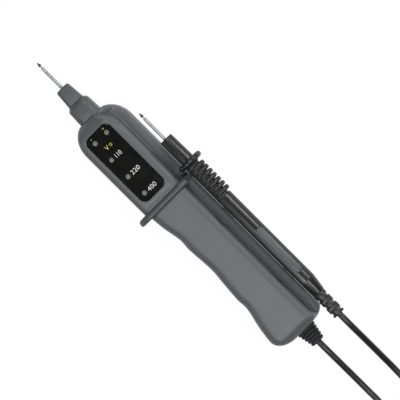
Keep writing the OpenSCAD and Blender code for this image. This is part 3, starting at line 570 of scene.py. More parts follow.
def dock_half(x):
    """Half width of the housing on the second probe's side."""
    side = mix(NOSE_HALF, HALF_W, shoulder((x - FRONT_X) / SHOULDER_LEN))
    return mix(DOCK_END, side, quarter((END_X - x) / DOCK_CORNER))


def top_at(x):
    """Height of the display face above the long axis."""
    brow = (1 - (1 - held((x - FRONT_X) / BROW_LEN)) ** 1.6) ** 0.85
    rise = mix(NOSE_HALF, AXIS_Z, brow)
    if x < GUARD_BACK:
        rise -= 0.7 * ease((x - GUARD_LOW.x + DIP_START) / 3.6)
    else:
        rise -= 0.4 * (1 - quarter((x - GUARD_BACK) / 0.5))
    return rise - 6 * (1 - quarter((END_X - x) / 6.3))


def base_at(x):
    """Depth of the rest face below the long axis."""
    fall = mix(NOSE_HALF, AXIS_Z, shoulder((x - FRONT_X) / BELLY_LEN))
    return fall - 4 * (1 - quarter((END_X - x) / 4))


def rounded(corners, steps, closed=False):
    """A line through (a, b, radius) corners with an arc at each one that has a radius."""
    count = len(corners)
    points = []
    for i, (a, b, radius) in enumerate(corners):
        here = Vector((a, b))
        if radius <= 0 or (not closed and i in (0, count - 1)):
            points.append((a, b))
            continue
        before = Vector(corners[i - 1][:2]) - here
        after = Vector(corners[(i + 1) % count][:2]) - here
        half = before.angle(after) / 2
        reach = min(radius / math.tan(half), 0.49 * before.length, 0.49 * after.length)
        start, end = before.normalized() * reach, after.normalized() * reach
        centre = (before.normalized() + after.normalized()).normalized() * reach / math.cos(half)
        turn = math.pi - 2 * half
        for k in range(steps + 1):
            f = k / steps
            arm = ((start - centre) * math.sin((1 - f) * turn)
                   + (end - centre) * math.sin(f * turn)) / math.sin(turn)
            point = here + centre + arm
            points.append((point.x, point.y))
    return points


def upper_outline(x, inset, groove):
    """Cross-section of the front cover from the plain side's seam over the face."""
    k = fullness(x)
    side, dock = plain_half(x) - inset, dock_half(x) - inset
    top = AXIS_Z + top_at(x) - inset
    foot = dock - mix(1, SHELF_WIDTH, k)
    ridge = foot + mix(-1, 0.6, k)
    if x < FRONT_X + RISER_FOOT[-1][0]:
        foot = curve_at(RISER_FOOT, x - FRONT_X) - inset
        ridge = curve_at(RISER_EDGE, x - FRONT_X) - inset
    face = ridge - mix(0.5, 4, k)
    fall = mix(0.1, 1.5, k)
    ends = min((x - FRONT_X) / SHOULDER_LEN, (END_X - x) / DOCK_CORNER)
    climb = CLIMB * (1 - ease((x - FRONT_X) / CLIMB_LEN))
    seat = AXIS_Z - SHELF_DROP - inset + climb
    rim = AXIS_Z - SHELF_DROP - inset + 0.7 * climb - 3.2 * (1 - shoulder(ends))
    # The face's rounding on the plain side is wider behind the guard
    corner = 4 if x < GUARD_LOW.x + 0.5 else 5.5
    return rounded([
        (-side + groove, SEAM_Z, 0), (-side, SEAM_Z + groove, 0),
        (-side, top, max(mix(3, corner, k) - inset, 0.3)),
        (face, top, mix(0.4, 5, k)),
        (ridge, top - fall, mix(0.3, 2.4, k)),
        (foot, seat, mix(0.5, 1.5, k)),
        (dock, rim, max(mix(3.6, 1.3, k) - inset, 0.3)),
        (dock, SEAM_Z + groove, 0), (dock - groove, SEAM_Z, 0),
    ], 7)


def lower_outline(x, inset, groove):
    """Cross-section of the rear cover from the dock side's seam under the belly."""
    k = fullness(x)
    side, dock = plain_half(x) - inset, dock_half(x) - inset
    base = AXIS_Z - base_at(x) + inset
    radius = max(mix(2, 3, k) - inset, 0.3)
    return rounded([
        (dock - groove, SEAM_Z, 0), (dock, SEAM_Z - groove, 0), (dock, base, radius),
        (-side, base, radius), (-side, SEAM_Z - groove, 0), (-side + groove, SEAM_Z, 0),
    ], 8)


def housing_stations():
    """Places of the cross-sections, close together where the form turns fast."""
    head = [FRONT_X + SHOULDER_LEN * (i / 26) ** 2 for i in range(27)]
    dip = GUARD_LOW.x - DIP_START
    straight = [mix(head[-1], dip, i / 8) for i in range(1, 9)]
    straight += [mix(dip, GUARD_LOW.x + 0.4, i / 6) for i in range(1, 7)]
    straight += [GUARD_BACK - 0.05]
    straight += [GUARD_BACK + 0.01 + 0.5 * (i / 5) ** 2 for i in range(5)]
    start, stop = GUARD_BACK + 0.6, END_X - PLAIN_CORNER
    grip = [mix(start, stop, i / 72) for i in range(73)]
    end = [stop + PLAIN_CORNER * math.sin(math.pi / 2 * i / 18) for i in range(1, 19)]
    return head + straight + grip + end


def bridges(rings, size):
    """The faces between rings of so many points each."""
    return [(i * size + j, i * size + (j + 1) % size,
             (i + 1) * size + (j + 1) % size, (i + 1) * size + j)
            for i in range(rings - 1) for j in range(size)]


def cover(name, outline, groove):
    """One cover: an outer and an inner skin, closed along the seam and at both ends."""
    stations = housing_stations()
    share = (END_X - FRONT_X - 2 * WALL) / (END_X - FRONT_X)
    inner = [FRONT_X + WALL + (x - FRONT_X) * share for x in stations]
    outer_rings = [[(x, y, z) for y, z in outline(x, 0, groove)] for x in stations]
    inner_rings = [[(x, y, z) for y, z in outline(x, WALL, 0.01)] for x in inner]
    count = len(outer_rings[0])
    rings = [a + b[::-1] for a, b in zip(outer_rings, inner_rings)]
    points = [p for ring in rings for p in ring]
    size = 2 * count
    faces = bridges(len(rings), size)
    for start in (0, (len(rings) - 1) * size):
        faces.append([start + j for j in range(count)])
        faces.append([start + j for j in (count - 1, 0, size - 1, count)])
        faces.append([start + count + j for j in range(count)])
    return merged(mesh_object(name, points, faces=faces))


# Second probe: its axis, the flat side towards the housing, where its pieces meet along
# X, and the radius of the bore for its wire
PROBE_Y, PROBE_Z = 22.6, 22.0
FLAT_Y = PROBE_Y - 3.3
SLEEVE_X, DISC_X, RIBS_X, BARREL_X, PROBE_END = -31.3, -13.5, -10, 16.14, 95.44
WIRE_BORE = 1.7
# Its ribs: their number, the first one's place behind the disc, their pitch, and how far
# they sit from the axis, away from the housing
RIB_COUNT, RIB_START, RIB_PITCH, RIB_SHIFT = 7, 3.45, 3.365, 1.6

# Contact pins: where the main one enters the nose cone, and how far the dark heads reach
CONE_X, HEAD_LEN = -95.3, 2.9

# Display: the window's box and corners, the gap round it and the lamps' places
PANEL_LOW, PANEL_HIGH = corners_of("display_panel")
PANEL_CENTRE = (PANEL_LOW + PANEL_HIGH) / 2
PANEL_SIZE = PANEL_HIGH - PANEL_LOW
PANEL_CORNER = 4.2
PANEL_GAP = 0.1
POCKET_SIZE = PANEL_SIZE + Vector((2 * PANEL_GAP, 2 * PANEL_GAP, 0))
LAMP_PLACES = [(-58.2, 1.95), (-58.2, -7.5), (-44.65, -7.5), (-31.1, -7.5), (-17.55, -7.5)]
LAMP_HOLE = 1.6

# Inside the housing: places along X and Y, heights along Z, and radii of holes
SCREW_PLACES = [(-51.5, -12.1), (-51.5, 6.8), (38, -6), (92, -9), (92, 7.2)]
POST_PLACES = [(-37.5, -9.5), (-37.5, 6.5), (24.5, -6), (24.5, 6)]
CLIP_PLACES = [25, 75]
LEAD_PLACE = (0.8, 10.0)
FLOOR_Z = 1.7
SOCKET_HOLE, LEAD_HOLE, CLIP_HOLE = 2.7, 2.0, 1.6


# Lead: its route, in millimetres

BODY_ROUTE = [
    (116, 0.8, 10), (120, 0.8, 10), (124, 0.8, 9.7), (130, 0.7, 8.6), (137, 0.5, 6.7),
    (144, 0.3, 4.7), (151, 0.1, 3.1), (158, 0, 2.3), (165, 0, 2.1), (172, -0.8, 2.1),
    (179, -2.8, 2.1), (186, -6, 2.1), (193, -10, 2.1), (200, -14, 2.1), (207, -17, 2.3),
    (213, -18.5, 2.5),
]
PROBE_ROUTE = [
    (112.6, 22.6, 22), (117, 22.6, 22), (121, 22.5, 21.4), (126, 22.3, 19.6),
    (132, 22, 16.6), (138, 21.6, 13.2), (144, 21.2, 9.8), (150, 20.8, 6.6),
    (156, 20.5, 4.1), (162, 20.2, 2.6), (168, 20.1, 2.1), (175, 20.8, 2.1), (182, 23, 2.1),
    (189, 26.6, 2.2), (196, 30.8, 3.1), (203, 34.8, 4.6), (208, 37.4, 6.1),
    (213, 38.5, 7.1),
]
COIL_CENTRE = (222, 10)
COIL_TURNS = 2.5


def coil_radius(t):
    if t < COIL_TURNS:
        return 28.5 - 4.6 * t
    if t < COIL_TURNS + 0.5:
        return 17 - 4.6 * (t - COIL_TURNS) * (1 - 2 * (t - COIL_TURNS))
    return 17 + 4.6 * (t - COIL_TURNS - 0.5)


def coil_point(t):
    """A point of the coil, which spirals in on the floor and out again on top."""
    angle = 2 * math.pi * t - math.pi / 2
    return (COIL_CENTRE[0] + coil_radius(t) * math.cos(angle),
            COIL_CENTRE[1] + coil_radius(t) * math.sin(angle),
            2.5 + 4.6 * ease((t - COIL_TURNS) * 2))


def lead_route():
    """Points of the whole lead from the housing through the coil to the probe."""
    total = 2 * COIL_TURNS + 0.5
    steps = int(total * 24)
    coil = [coil_point(total * i / steps) for i in range(steps + 1)]
    ends = [(coil[0][0] - 3.8, *coil[0][1:]), (coil[-1][0] - 3.8, *coil[-1][1:])]
    return [*BODY_ROUTE, ends[0], *coil, ends[1], *PROBE_ROUTE[::-1]]


def smooth_route(points, spacing):
    """Evenly spaced points on the smooth curve through the given ones."""
    points = [Vector(p) for p in points]
    dense = []
    for i in range(len(points) - 1):
        p0, p1 = points[max(i - 1, 0)], points[i]
        p2, p3 = points[i + 1], points[min(i + 2, len(points) - 1)]
        for k in range(12):
            t = k / 12
            dense.append(0.5 * ((2 * p1) + (p2 - p0) * t
                                + (2 * p0 - 5 * p1 + 4 * p2 - p3) * t * t
                                + (3 * p1 - p0 - 3 * p2 + p3) * t ** 3))
    dense.append(points[-1])
    total = sum((b - a).length for a, b in zip(dense, dense[1:]))
    count = round(total / spacing)
    even, walked, i = [dense[0]], 0.0, 0
    for k in range(1, count):
        goal = total * k / count
        while walked + (dense[i + 1] - dense[i]).length < goal:
            walked += (dense[i + 1] - dense[i]).length
            i += 1
        step = dense[i + 1] - dense[i]
        even.append(dense[i] + step * ((goal - walked) / step.length))
    return even + [dense[-1]]


def tube(name, route, radius, sides):
    """A closed tube along a route, its rings kept square to it and untwisted."""
    rings = []
    across = Vector((0, 0, 1))
    for i, point in enumerate(route):
        ahead = (route[min(i + 1, len(route) - 1)] - route[max(i - 1, 0)]).normalized()
        across = (across - ahead * across.dot(ahead)).normalized()
        beside = ahead.cross(across)
        for k in range(sides):
            a = 2 * math.pi * k / sides
            rings.append(point + radius * (across * math.cos(a) + beside * math.sin(a)))
    last = (len(route) - 1) * sides
    faces = bridges(len(route), sides)
    faces += [list(range(sides))[::-1], list(range(last, last + sides))]
    return merged(mesh_object(name, rings, faces=faces))


# Light: the room's brightness near the horizon and right above, then the softboxes,
# each with its lean from the vertical, its bearing from +X towards +Y and half its
# opening, in degrees, and its brightness
ROOM_LOW, ROOM_HIGH = 0.15, 0.02
SOFTBOXES = [
    ("softbox_above", 15, 315, 8, 14.5),
    ("softbox_cable_end", 30, 38, 9, 9.0),
    ("softbox_nose", 35, 138, 9, 11.0),
    ("softbox_dock_side", 60, 93, 10, 11.2),
    ("softbox_plain_side", 32, 280, 10, 3.0),
    ("softbox_low", 62, 247, 8, 4.2),
]


class TESTER_OT_stage(bpy.types.Operator):
    """Adds the pale floor, the soft lamps and the camera"""
    bl_idname = "tester.stage"
    bl_label = "Stage"

    def execute(self, context):
        pick_none()
        bpy.ops.mesh.primitive_plane_add(size=16, location=(0, 0, 0))
        floor = last_made("floor")
        floor.data.materials.append(seamless_paper("white seamless paper"))

        world = bpy.data.worlds.new("studio")
        world.use_nodes = True
        sky = world.node_tree
        # The room is darkest right above, where the camera stands
        direction = add(sky, "ShaderNodeTexCoord")
        height = add(sky, "ShaderNodeSeparateXYZ", links={0: direction.outputs["Generated"]})
        level = add(sky, "ShaderNodeMapRange",
                    {"From Min": 0.35, "From Max": 0.95, "To Min": ROOM_LOW, "To Max": ROOM_HIGH},
                    {"Value": height.outputs["Z"]}, interpolation_type="SMOOTHSTEP")
        sky.links.new(level.outputs["Result"], sky.nodes["Background"].inputs["Strength"])
        sky.nodes["Background"].inputs["Color"].default_value = (1, 1, 1, 1)
        context.scene.world = world

        # The softboxes hang 1.4 m from the tester
        reach = 1.4
        for name, lean, bearing, half, bright in SOFTBOXES:
            lean, bearing = math.radians(lean), math.radians(bearing)
            spot = reach * Vector((math.sin(lean) * math.cos(bearing),
                                   math.sin(lean) * math.sin(bearing), math.cos(lean)))
            turn = (-spot).to_track_quat("-Z", "Y")
            pick_none()
            bpy.ops.object.light_add(type="AREA", location=spot, rotation=turn.to_euler())
            lamp = last_made(name)
            lamp.data.shape = "DISK"
            lamp.data.size = 2 * reach * math.tan(math.radians(half))
            lamp.data.energy = bright * math.pi ** 2 * (lamp.data.size / 2) ** 2

        # The camera leans 7.4 degrees towards the second probe, and the frame lies
        # at 45 degrees to the tester and is 234 mm wide at its middle
        target = Vector((8.19, 10.85, 14)) * MM
        lean, distance, seen_width = math.radians(7.4), 3.0, 0.234
        back = Vector((0, math.sin(lean), math.cos(lean)))
        along = Vector((1, 0, 0))
        beside = Vector((0, math.cos(lean), -math.sin(lean)))
        right = (along + beside).normalized()
        up = (beside - along).normalized()
        pick_none()
        bpy.ops.object.camera_add(location=target + back * distance)
        camera = last_made("camera")
        camera.rotation_euler = Matrix((right, up, back)).transposed().to_euler()
        film = 36
        camera.data.sensor_width = film
        camera.data.lens = film * distance / seen_width
        camera.data.clip_start, camera.data.clip_end = 0.1, 60
        context.scene.camera = camera
        context.scene.view_settings.view_transform = "Standard"
        return {"FINISHED"}


class TESTER_OT_lead(bpy.types.Operator):
    """Models the lead from the housing through its coil to the second probe"""
    bl_idname = "tester.lead"
    bl_label = "Lead and strap"

    def execute(self, context):
        sizes, colours = chosen(context)
        vinyl = soft_sheath("soft vinyl sheath", colours.lead, 0.36)
        route = smooth_route(lead_route(), 1.5)
        coil_end = Vector(coil_point(2 * COIL_TURNS + 0.5))
        cut = min(range(len(route)), key=lambda i: (route[i] - coil_end).length)
        stretches = [
            ("test_lead", route[:cut + 1], TESTER, ["lead_from_body", "lead_coil"]),
            ("probe_lead", route[cut:], None, ["lead_to_probe"]),
        ]
        leads = [dress(tube(name, stretch, sizes.lead_diameter / MM / 2, 18), vinyl, body,
                       nodes, 50)
                 for name, stretch, body, nodes in stretches]
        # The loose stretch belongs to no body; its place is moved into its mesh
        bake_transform(leads[1])

        webbing = woven_strap("woven nylon strap", colours.strap)
        strap = softened("coil_tie", "coil_strap", 0.2 * MM, 3, webbing, TESTER)

        return {"FINISHED"}


class TESTER_OT_housing(bpy.types.Operator):
    """Lofts the two covers of the housing with their pocket, sinks and posts"""
    bl_idname = "tester.housing"
    bl_label = "Housing"

    def execute(self, context):
        sizes, colours = chosen(context)
        plastic = eroded_plastic("spark-eroded ABS", colours.housing)
        groove = sizes.parting_groove / MM

        front = cover("front_shell", upper_outline, groove)
        pocket = plate("pocket", PANEL_CENTRE, POCKET_SIZE, PANEL_CORNER + PANEL_GAP,
                       PANEL_LOW.z - PANEL_GAP, TOP_Z + 1)
        boolean(front, pocket)
        holes = posts(LAMP_PLACES, TOP_Z - 4.4, TOP_Z + 1, LAMP_HOLE)
        holes.append(lying_post("hole", (FRONT_X - 1, 0, AXIS_Z), 4, SOCKET_HOLE))
        holes.append(lying_post("hole", (END_X - 3, *LEAD_PLACE), 4, LEAD_HOLE))
        boolean(front, joined("holes", holes))
        bosses = []
        for x, y in SCREW_PLACES:
            boss = post("boss", x, y, SEAM_Z, TOP_Z - WALL + 0.3, 2.8)
            boolean(boss, post("bore", x, y, SEAM_Z - 1, 18.6, 1.35))
            bosses.append(boss)
        front = joined("front_shell", [front, *bosses])
        dress(front, plastic, TESTER, ["front_cover"])

        rear = cover("rear_shell", lower_outline, groove)
        boolean(rear, joined("bosses", posts(SCREW_PLACES, FLOOR_Z, SEAM_Z, 3.9)), "UNION")
        boolean(rear, joined("sinks", posts(SCREW_PLACES, -1, 2.6, 2.5)))
        bores = posts(SCREW_PLACES, -1, SEAM_Z + 1, 1.4)
        bores.append(lying_post("bore", (END_X - 3, *LEAD_PLACE), 4, LEAD_HOLE))
        for x in CLIP_PLACES:
            bores.append(lying_post("bore", (x, HALF_W - 3.2, 6.2), 4, CLIP_HOLE, "Y"))
        boolean(rear, joined("bores", bores))
        # Posts of the board, then the bed and the stands of the lead's clamp
        stands = posts(POST_PLACES, FLOOR_Z, 15.8, 1.6)
        stands.append(block("bed", (81, -8.2, FLOOR_Z), (87, 9.8, 8.1)))
        for side in (-6, 6):
            stands.append(post("stand", 84, LEAD_PLACE[0] + side, FLOOR_Z, 11.9, 2.9))
        rear = joined("rear_shell", [rear, *stands])
        dress(rear, plastic, TESTER, ["rear_cover"])
        return {"FINISHED"}


class TESTER_OT_guard(bpy.types.Operator):
    """Models the finger guard with its openings for the housing and the second probe"""
    bl_idname = "tester.guard"
    bl_label = "Finger guard"

    def execute(self, context):
        sizes, colours = chosen(context)
        outline = rounded([
            (GUARD_HIGH.y, GUARD_LOW.z, 4), (GUARD_HIGH.y, 13, 4), (HALF_W, 13, 1.5),
            (HALF_W, GUARD_HIGH.z, 8), (GUARD_LOW.y, GUARD_HIGH.z, 8),
            (GUARD_LOW.y, GUARD_LOW.z, 8)], 12, True)
        guard = slab("guard_plate", outline, GUARD_LOW.x, GUARD_BACK)
        for width, segments, x in ((sizes.guard_front, 7, GUARD_LOW.x),
                                   (sizes.guard_back, 4, GUARD_BACK)):
            bevel_edges(guard, width, segments,
                        lambda a, b: max(abs(a.x - x), abs(b.x - x)) < 0.01)
        front, back = GUARD_LOW.x - 1, GUARD_HIGH.x + 1
        middle, gap = (GUARD_LOW.x + GUARD_BACK) / 2, 0.12
        body = upper_outline(middle, -gap, 0) + lower_outline(middle, -gap, 0)
        boolean(guard, slab("body", body, front, back))
        notch = 7.6
        boolean(guard, lying_post("notch", (front, PROBE_Y, PROBE_Z), 7, notch, sides=64))
        boolean(guard, block("notch", (front, PROBE_Y - notch, PROBE_Z),
                             (back, PROBE_Y + notch, PROBE_Z + 20)))
        merged(guard)
        plastic = eroded_plastic("spark-eroded ABS of the guard", colours.guard)
        dress(guard, plastic, TESTER, ["finger_guard"])
        return {"FINISHED"}


class TESTER_OT_display(bpy.types.Operator):
    """Models the display panel, its rim, the lamps and the printed marks"""
    bl_idname = "tester.display"
    bl_label = "Display"

    def execute(self, context):
        sizes, colours = chosen(context)
        panel = plate("display_window", PANEL_CENTRE, PANEL_SIZE, PANEL_CORNER,
                      PANEL_LOW.z, PANEL_HIGH.z, 10)
        bevel_edges(panel, 0.15 * MM, 2, above(PANEL_HIGH.z - 0.01))
        holes = posts(LAMP_PLACES, PANEL_LOW.z - 1, PANEL_HIGH.z + 1, LAMP_HOLE)
        boolean(panel, joined("holes", holes))
        dress(panel, gloss_window("back-printed polycarbonate", colours.panel), TESTER,
              ["display_panel"], 15)

        width, rise = sizes.rim_width / MM, sizes.rim_rise / MM
        grown = Vector((2 * width + 2 * PANEL_GAP, 2 * width + 2 * PANEL_GAP, 0))
        top = TOP_Z + rise
        rim = plate("display_rim", PANEL_CENTRE, PANEL_SIZE + grown, PANEL_CORNER + width,
                    TOP_Z - 0.4, top, 12)
        boolean(rim, plate("inner", PANEL_CENTRE, POCKET_SIZE, PANEL_CORNER + PANEL_GAP,
                           TOP_Z - 1, TOP_Z + 1, 12))
        bevel_edges(rim, min(rise, width / 2) * 0.9 * MM, 3, above(top - 0.01))
        plastic = eroded_plastic("spark-eroded ABS of the rim", colours.housing)
        dress(rim, plastic, TESTER)

        epoxy = diffused_epoxy("diffused epoxy", colours.lamp)
        groups = [("polarity_lenses", LAMP_PLACES[:2], "polarity_lamps"),
                  ("voltage_lenses", LAMP_PLACES[2:], "voltage_lamps")]
        for name, places, node in groups:
            lenses = joined(name, [lens(x, y) for x, y in places])
            dress(lenses, epoxy, TESTER, [node])

        tall = sizes.digit_height / MM
        prints = [
            ("voltage_numbers", "white pad-printing ink", colours.number, [
                ("110", (-44.6, -2.05), 4.2, tall), ("220", (-31.0, -1.63), 6.1, tall),
                ("400", (-17.35, -1.63), 6.1, tall), ("-", (-61.3, -7.68), 0.8, 0.2)]),
            ("unit_signs", "yellow pad-printing ink", colours.sign, [
                ("V", (-51.6, -4.3), 2.2, tall), ("=", (-51.6, -1.34), 2.0, 1.3),
                ("+", (-61.2, 1.76), 1.25, 1.25)]),
        ]
        for name, ink, base, rows in prints:
            marks = joined(name, [mark(*row) for row in rows])
            dress(marks, printed_ink(ink, base), TESTER)
        return {"FINISHED"}


def lens(x, y):
    """One lamp: flange, lens with a rounded rim and a shallow dished top, and two legs."""
    top, foot = TOP_Z - 0.05, 20.0
    profile = rounded([
        (foot, 0, 0), (foot, 1.8, 0.1), (foot + 1, 1.8, 0.1), (foot + 1, 1.5, 0.05),
        (top, 1.5, 0.35), (top, 1.15, 0.15), (top - 0.25, 1.0, 0.3), (top - 0.12, 0, 0),
    ], 3)
    obj = spun("lens", profile, (0, 0, 0), 32)
    obj.rotation_euler = (0, -math.pi / 2, 0)
    obj.location = (x * MM, y * MM, 0)
    place(obj)
    legs = [post("leg", x + side, y, 17.4, foot + 0.1, 0.25, 8) for side in (-1.27, 1.27)]
    return joined("lens", [obj, *legs])


def mark(text, centre, width, height):
    """A printed mark that reads from the second probe's side; in millimetres."""
    sizes = bpy.context.scene.tester_sizes
    pick_none()
    bpy.ops.object.text_add()
    obj = bpy.context.object
    obj.data.body = text
    obj.data.align_x, obj.data.align_y = "CENTER", "CENTER"
    obj.data.size = 1.0
    obj.data.offset = -0.012
    obj.data.resolution_u = 3
    obj.data.extrude = 0.5
    bpy.ops.object.convert(target="MESH")
    obj = last_made("mark")
    low = Vector([min(v.co[i] for v in obj.data.vertices) for i in range(3)])
    high = Vector([max(v.co[i] for v in obj.data.vertices) for i in range(3)])
    obj.data.transform(Matrix.Translation(-(low + high) / 2))
    obj.scale = (width * MM / (high.x - low.x), height * MM / (high.y - low.y),
                 sizes.ink_thickness / (high.z - low.z))
    obj.rotation_euler = (0, 0, math.pi / 2)
    obj.location = Vector((*centre, PANEL_HIGH.z)) * MM + Vector((0, 0, sizes.ink_thickness / 2))
    return place(obj)


class TESTER_OT_nose(bpy.types.Operator):
    """Softens the collar and the nose cone"""
    bl_idname = "tester.nose"
    bl_label = "Nose"

    def execute(self, context):
        sizes, colours = chosen(context)
        plastic = eroded_plastic("spark-eroded ABS of the nose", colours.nose, 0.42)
        for node, name in (("nose_collar", "collar"), ("nose_cone", "nose_tip")):
            softened(node, name, sizes.nose_soft, 3, plastic, TESTER)
        return {"FINISHED"}


class TESTER_OT_pins(bpy.types.Operator):
    """Turns the two contact pins"""
    bl_idname = "tester.pins"
    bl_label = "Contact pins"

    def execute(self, context):
        colours = context.scene.tester_colours
        steel = turned_metal("nickel-plated steel", colours.steel, 0.6)
        dark = turned_metal("hardened steel of the heads", colours.pin_head, 0.45)
        pins = [("main_tip", "main_pin", TESTER, CONE_X),
                ("probe_tip", "second_pin", PROBE, SLEEVE_X)]
        for node, name, body, seat in pins:
            low, high = corners_of(node)
            centre = (low + high) / 2
            pin = spun(name, pin_profile(low.x, seat, high.x), (0, centre.y, centre.z), 32)
            dress(pin, steel, body, [node], 40)
            # The head in front of the neck is dark
            pin.data.materials.append(dark)
            for face in pin.data.polygons:
                if face.center.x < (low.x + HEAD_LEN) * MM:
                    face.material_index = 1
        return {"FINISHED"}


def pin_profile(front, seat, back):
    """Profile of a pin: head, neck, fine grooves, shank and the thinner stud in its seat."""
    shank, stud, neck, groove = 1.0, 0.7, 0.5, 0.93
    head = [(0, 0), (0.2, 0.2), (2.2, 0.95), (2.5, shank), (2.7, 0.95), (2.95, neck),
            (3.9, neck), (4.3, 0.85), (4.6, shank)]
    rows = [(front + x, r) for x, r in head]
    for i in range(3):
        x = front + 5.1 + 1.1 * i
        rows += [(x, shank), (x + 0.15, groove), (x + 0.4, groove), (x + 0.55, shank)]
    return rows + [(seat, shank), (seat, stud), (back, stud), (back, 0)]


class TESTER_OT_fittings(bpy.types.Operator):
    """Softens the housing's strain relief, the dock clips and the screws"""
    bl_idname = "tester.fittings"
    bl_label = "Strain relief, clips and screws"

    def execute(self, context):
        sizes, colours = chosen(context)
        soft = soft_sheath("soft vinyl of the strain relief", colours.relief, 0.55)
        plastic = eroded_plastic("spark-eroded ABS of the clips", colours.guard)
        zinc = turned_metal("zinc-plated steel", colours.steel, 0.32)
        clip, screw = sizes.clip_soft, 0.12 * MM
        fittings = [
            ("body_relief", "housing_relief", 0.18 * MM, soft, "relief_black", 25),
            ("front_dock_clip", "front_clip", clip, plastic, "housing_grey", 35),
            ("rear_dock_clip", "rear_clip", clip, plastic, "housing_grey", 35),
            ("cover_screws", "cover_screw_set", screw, zinc, "screw_steel", 35),
            ("clamp_screws", "clamp_screw_set", screw, zinc, "screw_steel", 35),
        ]
        for node, name, width, material, slot, angle in fittings:
            softened(node, name, width, 2, material, TESTER, angle)
        return {"FINISHED"}


class TESTER_OT_probe(bpy.types.Operator):
    """Turns the second probe: sleeve, guard disc, ribbed grip, barrel and plaque"""
    bl_idname = "tester.probe"
    bl_label = "Second probe"

    def execute(self, context):
        colours = context.scene.tester_colours
        gloss = polished_plastic("polished black ABS", colours.probe)
        centre = (0, PROBE_Y, PROBE_Z)

        seat = SLEEVE_X + 9
        sleeve = cut_flat(spun("second_sleeve", rounded([
            (SLEEVE_X, 0.75, 0), (SLEEVE_X, 4.74, 0.6), (DISC_X, 5.1, 0),
            (DISC_X, WIRE_BORE, 0), (seat, WIRE_BORE, 0), (seat, 0.75, 0)], 4, True), centre))
        bevel_edges(sleeve, 0.4 * MM, 3, on_flat(SLEEVE_X, DISC_X))
        dress(sleeve, gloss, PROBE, ["probe_sleeve"])

        disc = slab("second_disc", disc_outline(9.4, 6.6, 2.2), DISC_X, RIBS_X)
        bevel_edges(disc, 1.7 * MM, 7, lambda a, b: abs(a.x - b.x) < 0.01)
        boolean(disc, lying_post("bore", (DISC_X - 0.5, PROBE_Y, PROBE_Z), 5, WIRE_BORE))
        dress(disc, gloss, PROBE, ["probe_guard"])

        ribs = [cut_flat(spun("second_core", rounded([
            (RIBS_X, WIRE_BORE, 0), (RIBS_X, 6.4, 0.2), (RIBS_X + 0.8, 4.9, 0.8),
            (BARREL_X, 4.7, 0), (BARREL_X, WIRE_BORE, 0)], 4, True), centre))]
        for i in range(RIB_COUNT):
            x = RIBS_X + RIB_START + RIB_PITCH * i
            ribs.append(cut_flat(spun("rib", rounded([
                (x - 1.5, 3.9, 0), (x - 1.4, 4.5, 0.3), (x - 1.0, 5.7, 0.5),
                (x + 1.0, 5.7, 0.5), (x + 1.4, 4.5, 0.3), (x + 1.5, 3.9, 0)],
                5, True), (0, PROBE_Y + RIB_SHIFT, PROBE_Z))))
        grip = joined("second_grip", ribs)
        satin = polished_plastic("satin black ABS of the ribs", colours.probe, 0.48)
        dress(grip, satin, PROBE, ["probe_grip"])

        taper, seat = PROBE_END - 10, PROBE_END - 15
        barrel = cut_flat(spun("second_barrel", rounded([
            (BARREL_X, WIRE_BORE, 0), (BARREL_X, 5.65, 0.5), (taper, 5.65, 6),
            (PROBE_END, 4.18, 0.3), (PROBE_END, 1.95, 0), (seat, 1.95, 0),
            (seat, WIRE_BORE, 0)], 6, True), centre))
        bevel_edges(barrel, 0.5 * MM, 3, on_flat(BARREL_X, PROBE_END))
        low, high = corners_of("probe_plaque")
        middle = (low.x + high.x) / 2
        pocket = plate("pocket", (middle, 0), (35.6, 5.0), 2.3, 4.7, 8, 8)
        boolean(barrel, at_plaque(pocket))
        dress(barrel, gloss, PROBE, ["probe_barrel"])

        plaque = plate("thumb_inlay", (middle, 0), (35.4, 4.8), 2.2, 4.7, 5.3, 8)
        bevel_edges(plaque, 0.2 * MM, 2, above(5.29))
        at_plaque(plaque)
        satin = eroded_plastic("spark-eroded ABS of the inlay", colours.plaque, 0.45)
        dress(plaque, satin, PROBE, ["probe_plaque"])

        soft = soft_sheath("soft vinyl of the probe's relief", colours.relief, 0.38)
        softened("probe_relief", "second_relief", 0.2 * MM, 2, soft, PROBE)
        return {"FINISHED"}


def cut_flat(obj):
    """Cuts a piece of the second probe flat on the housing's side and closes the cut."""
    return edited(obj, (bpy.ops.mesh.bisect, {
        "plane_co": Vector((0, FLAT_Y, 0)) * MM, "plane_no": (0, -1, 0), "use_fill": True,
        "clear_outer": True}))


def disc_outline(radius, flat, corner, steps=44):
    """A circle about the probe's axis with one flat side and soft corners, as (y, z)."""
    y = corner - flat
    z = math.sqrt((radius - corner) ** 2 - y * y)
    turn = math.atan2(z, y)
    half = [(radius * math.cos(turn * i / steps), radius * math.sin(turn * i / steps))
            for i in range(steps + 1)]
    for i in range(1, 9):
        a = mix(turn, math.pi, i / 8)
        half.append((y + corner * math.cos(a), z + corner * math.sin(a)))
    whole = half + [(a, -b) for a, b in half[:0:-1]]
    return [(PROBE_Y + a, PROBE_Z + b) for a, b in whole]


def on_flat(x_low, x_high):
    """Test for the long edges along the flat side, between two places along X."""
    def test(a, b):
        flat = abs(a.y - FLAT_Y) < 0.02 and abs(b.y - FLAT_Y) < 0.02
        inside = min(a.x, b.x) >= x_low - 0.4 and max(a.x, b.x) <= x_high + 0.4
        return flat and inside and abs(a.z - b.z) < 0.3 and abs(a.x - b.x) > 0.02
    return test


def at_plaque(obj):
    """Turns a piece onto the slanted seat of the thumb inlay."""
    turn = Matrix.Rotation(math.radians(-25), 4, "X")
    obj.data.transform(Matrix.Translation(Vector((0, PROBE_Y, PROBE_Z)) * MM) @ turn)
    return obj


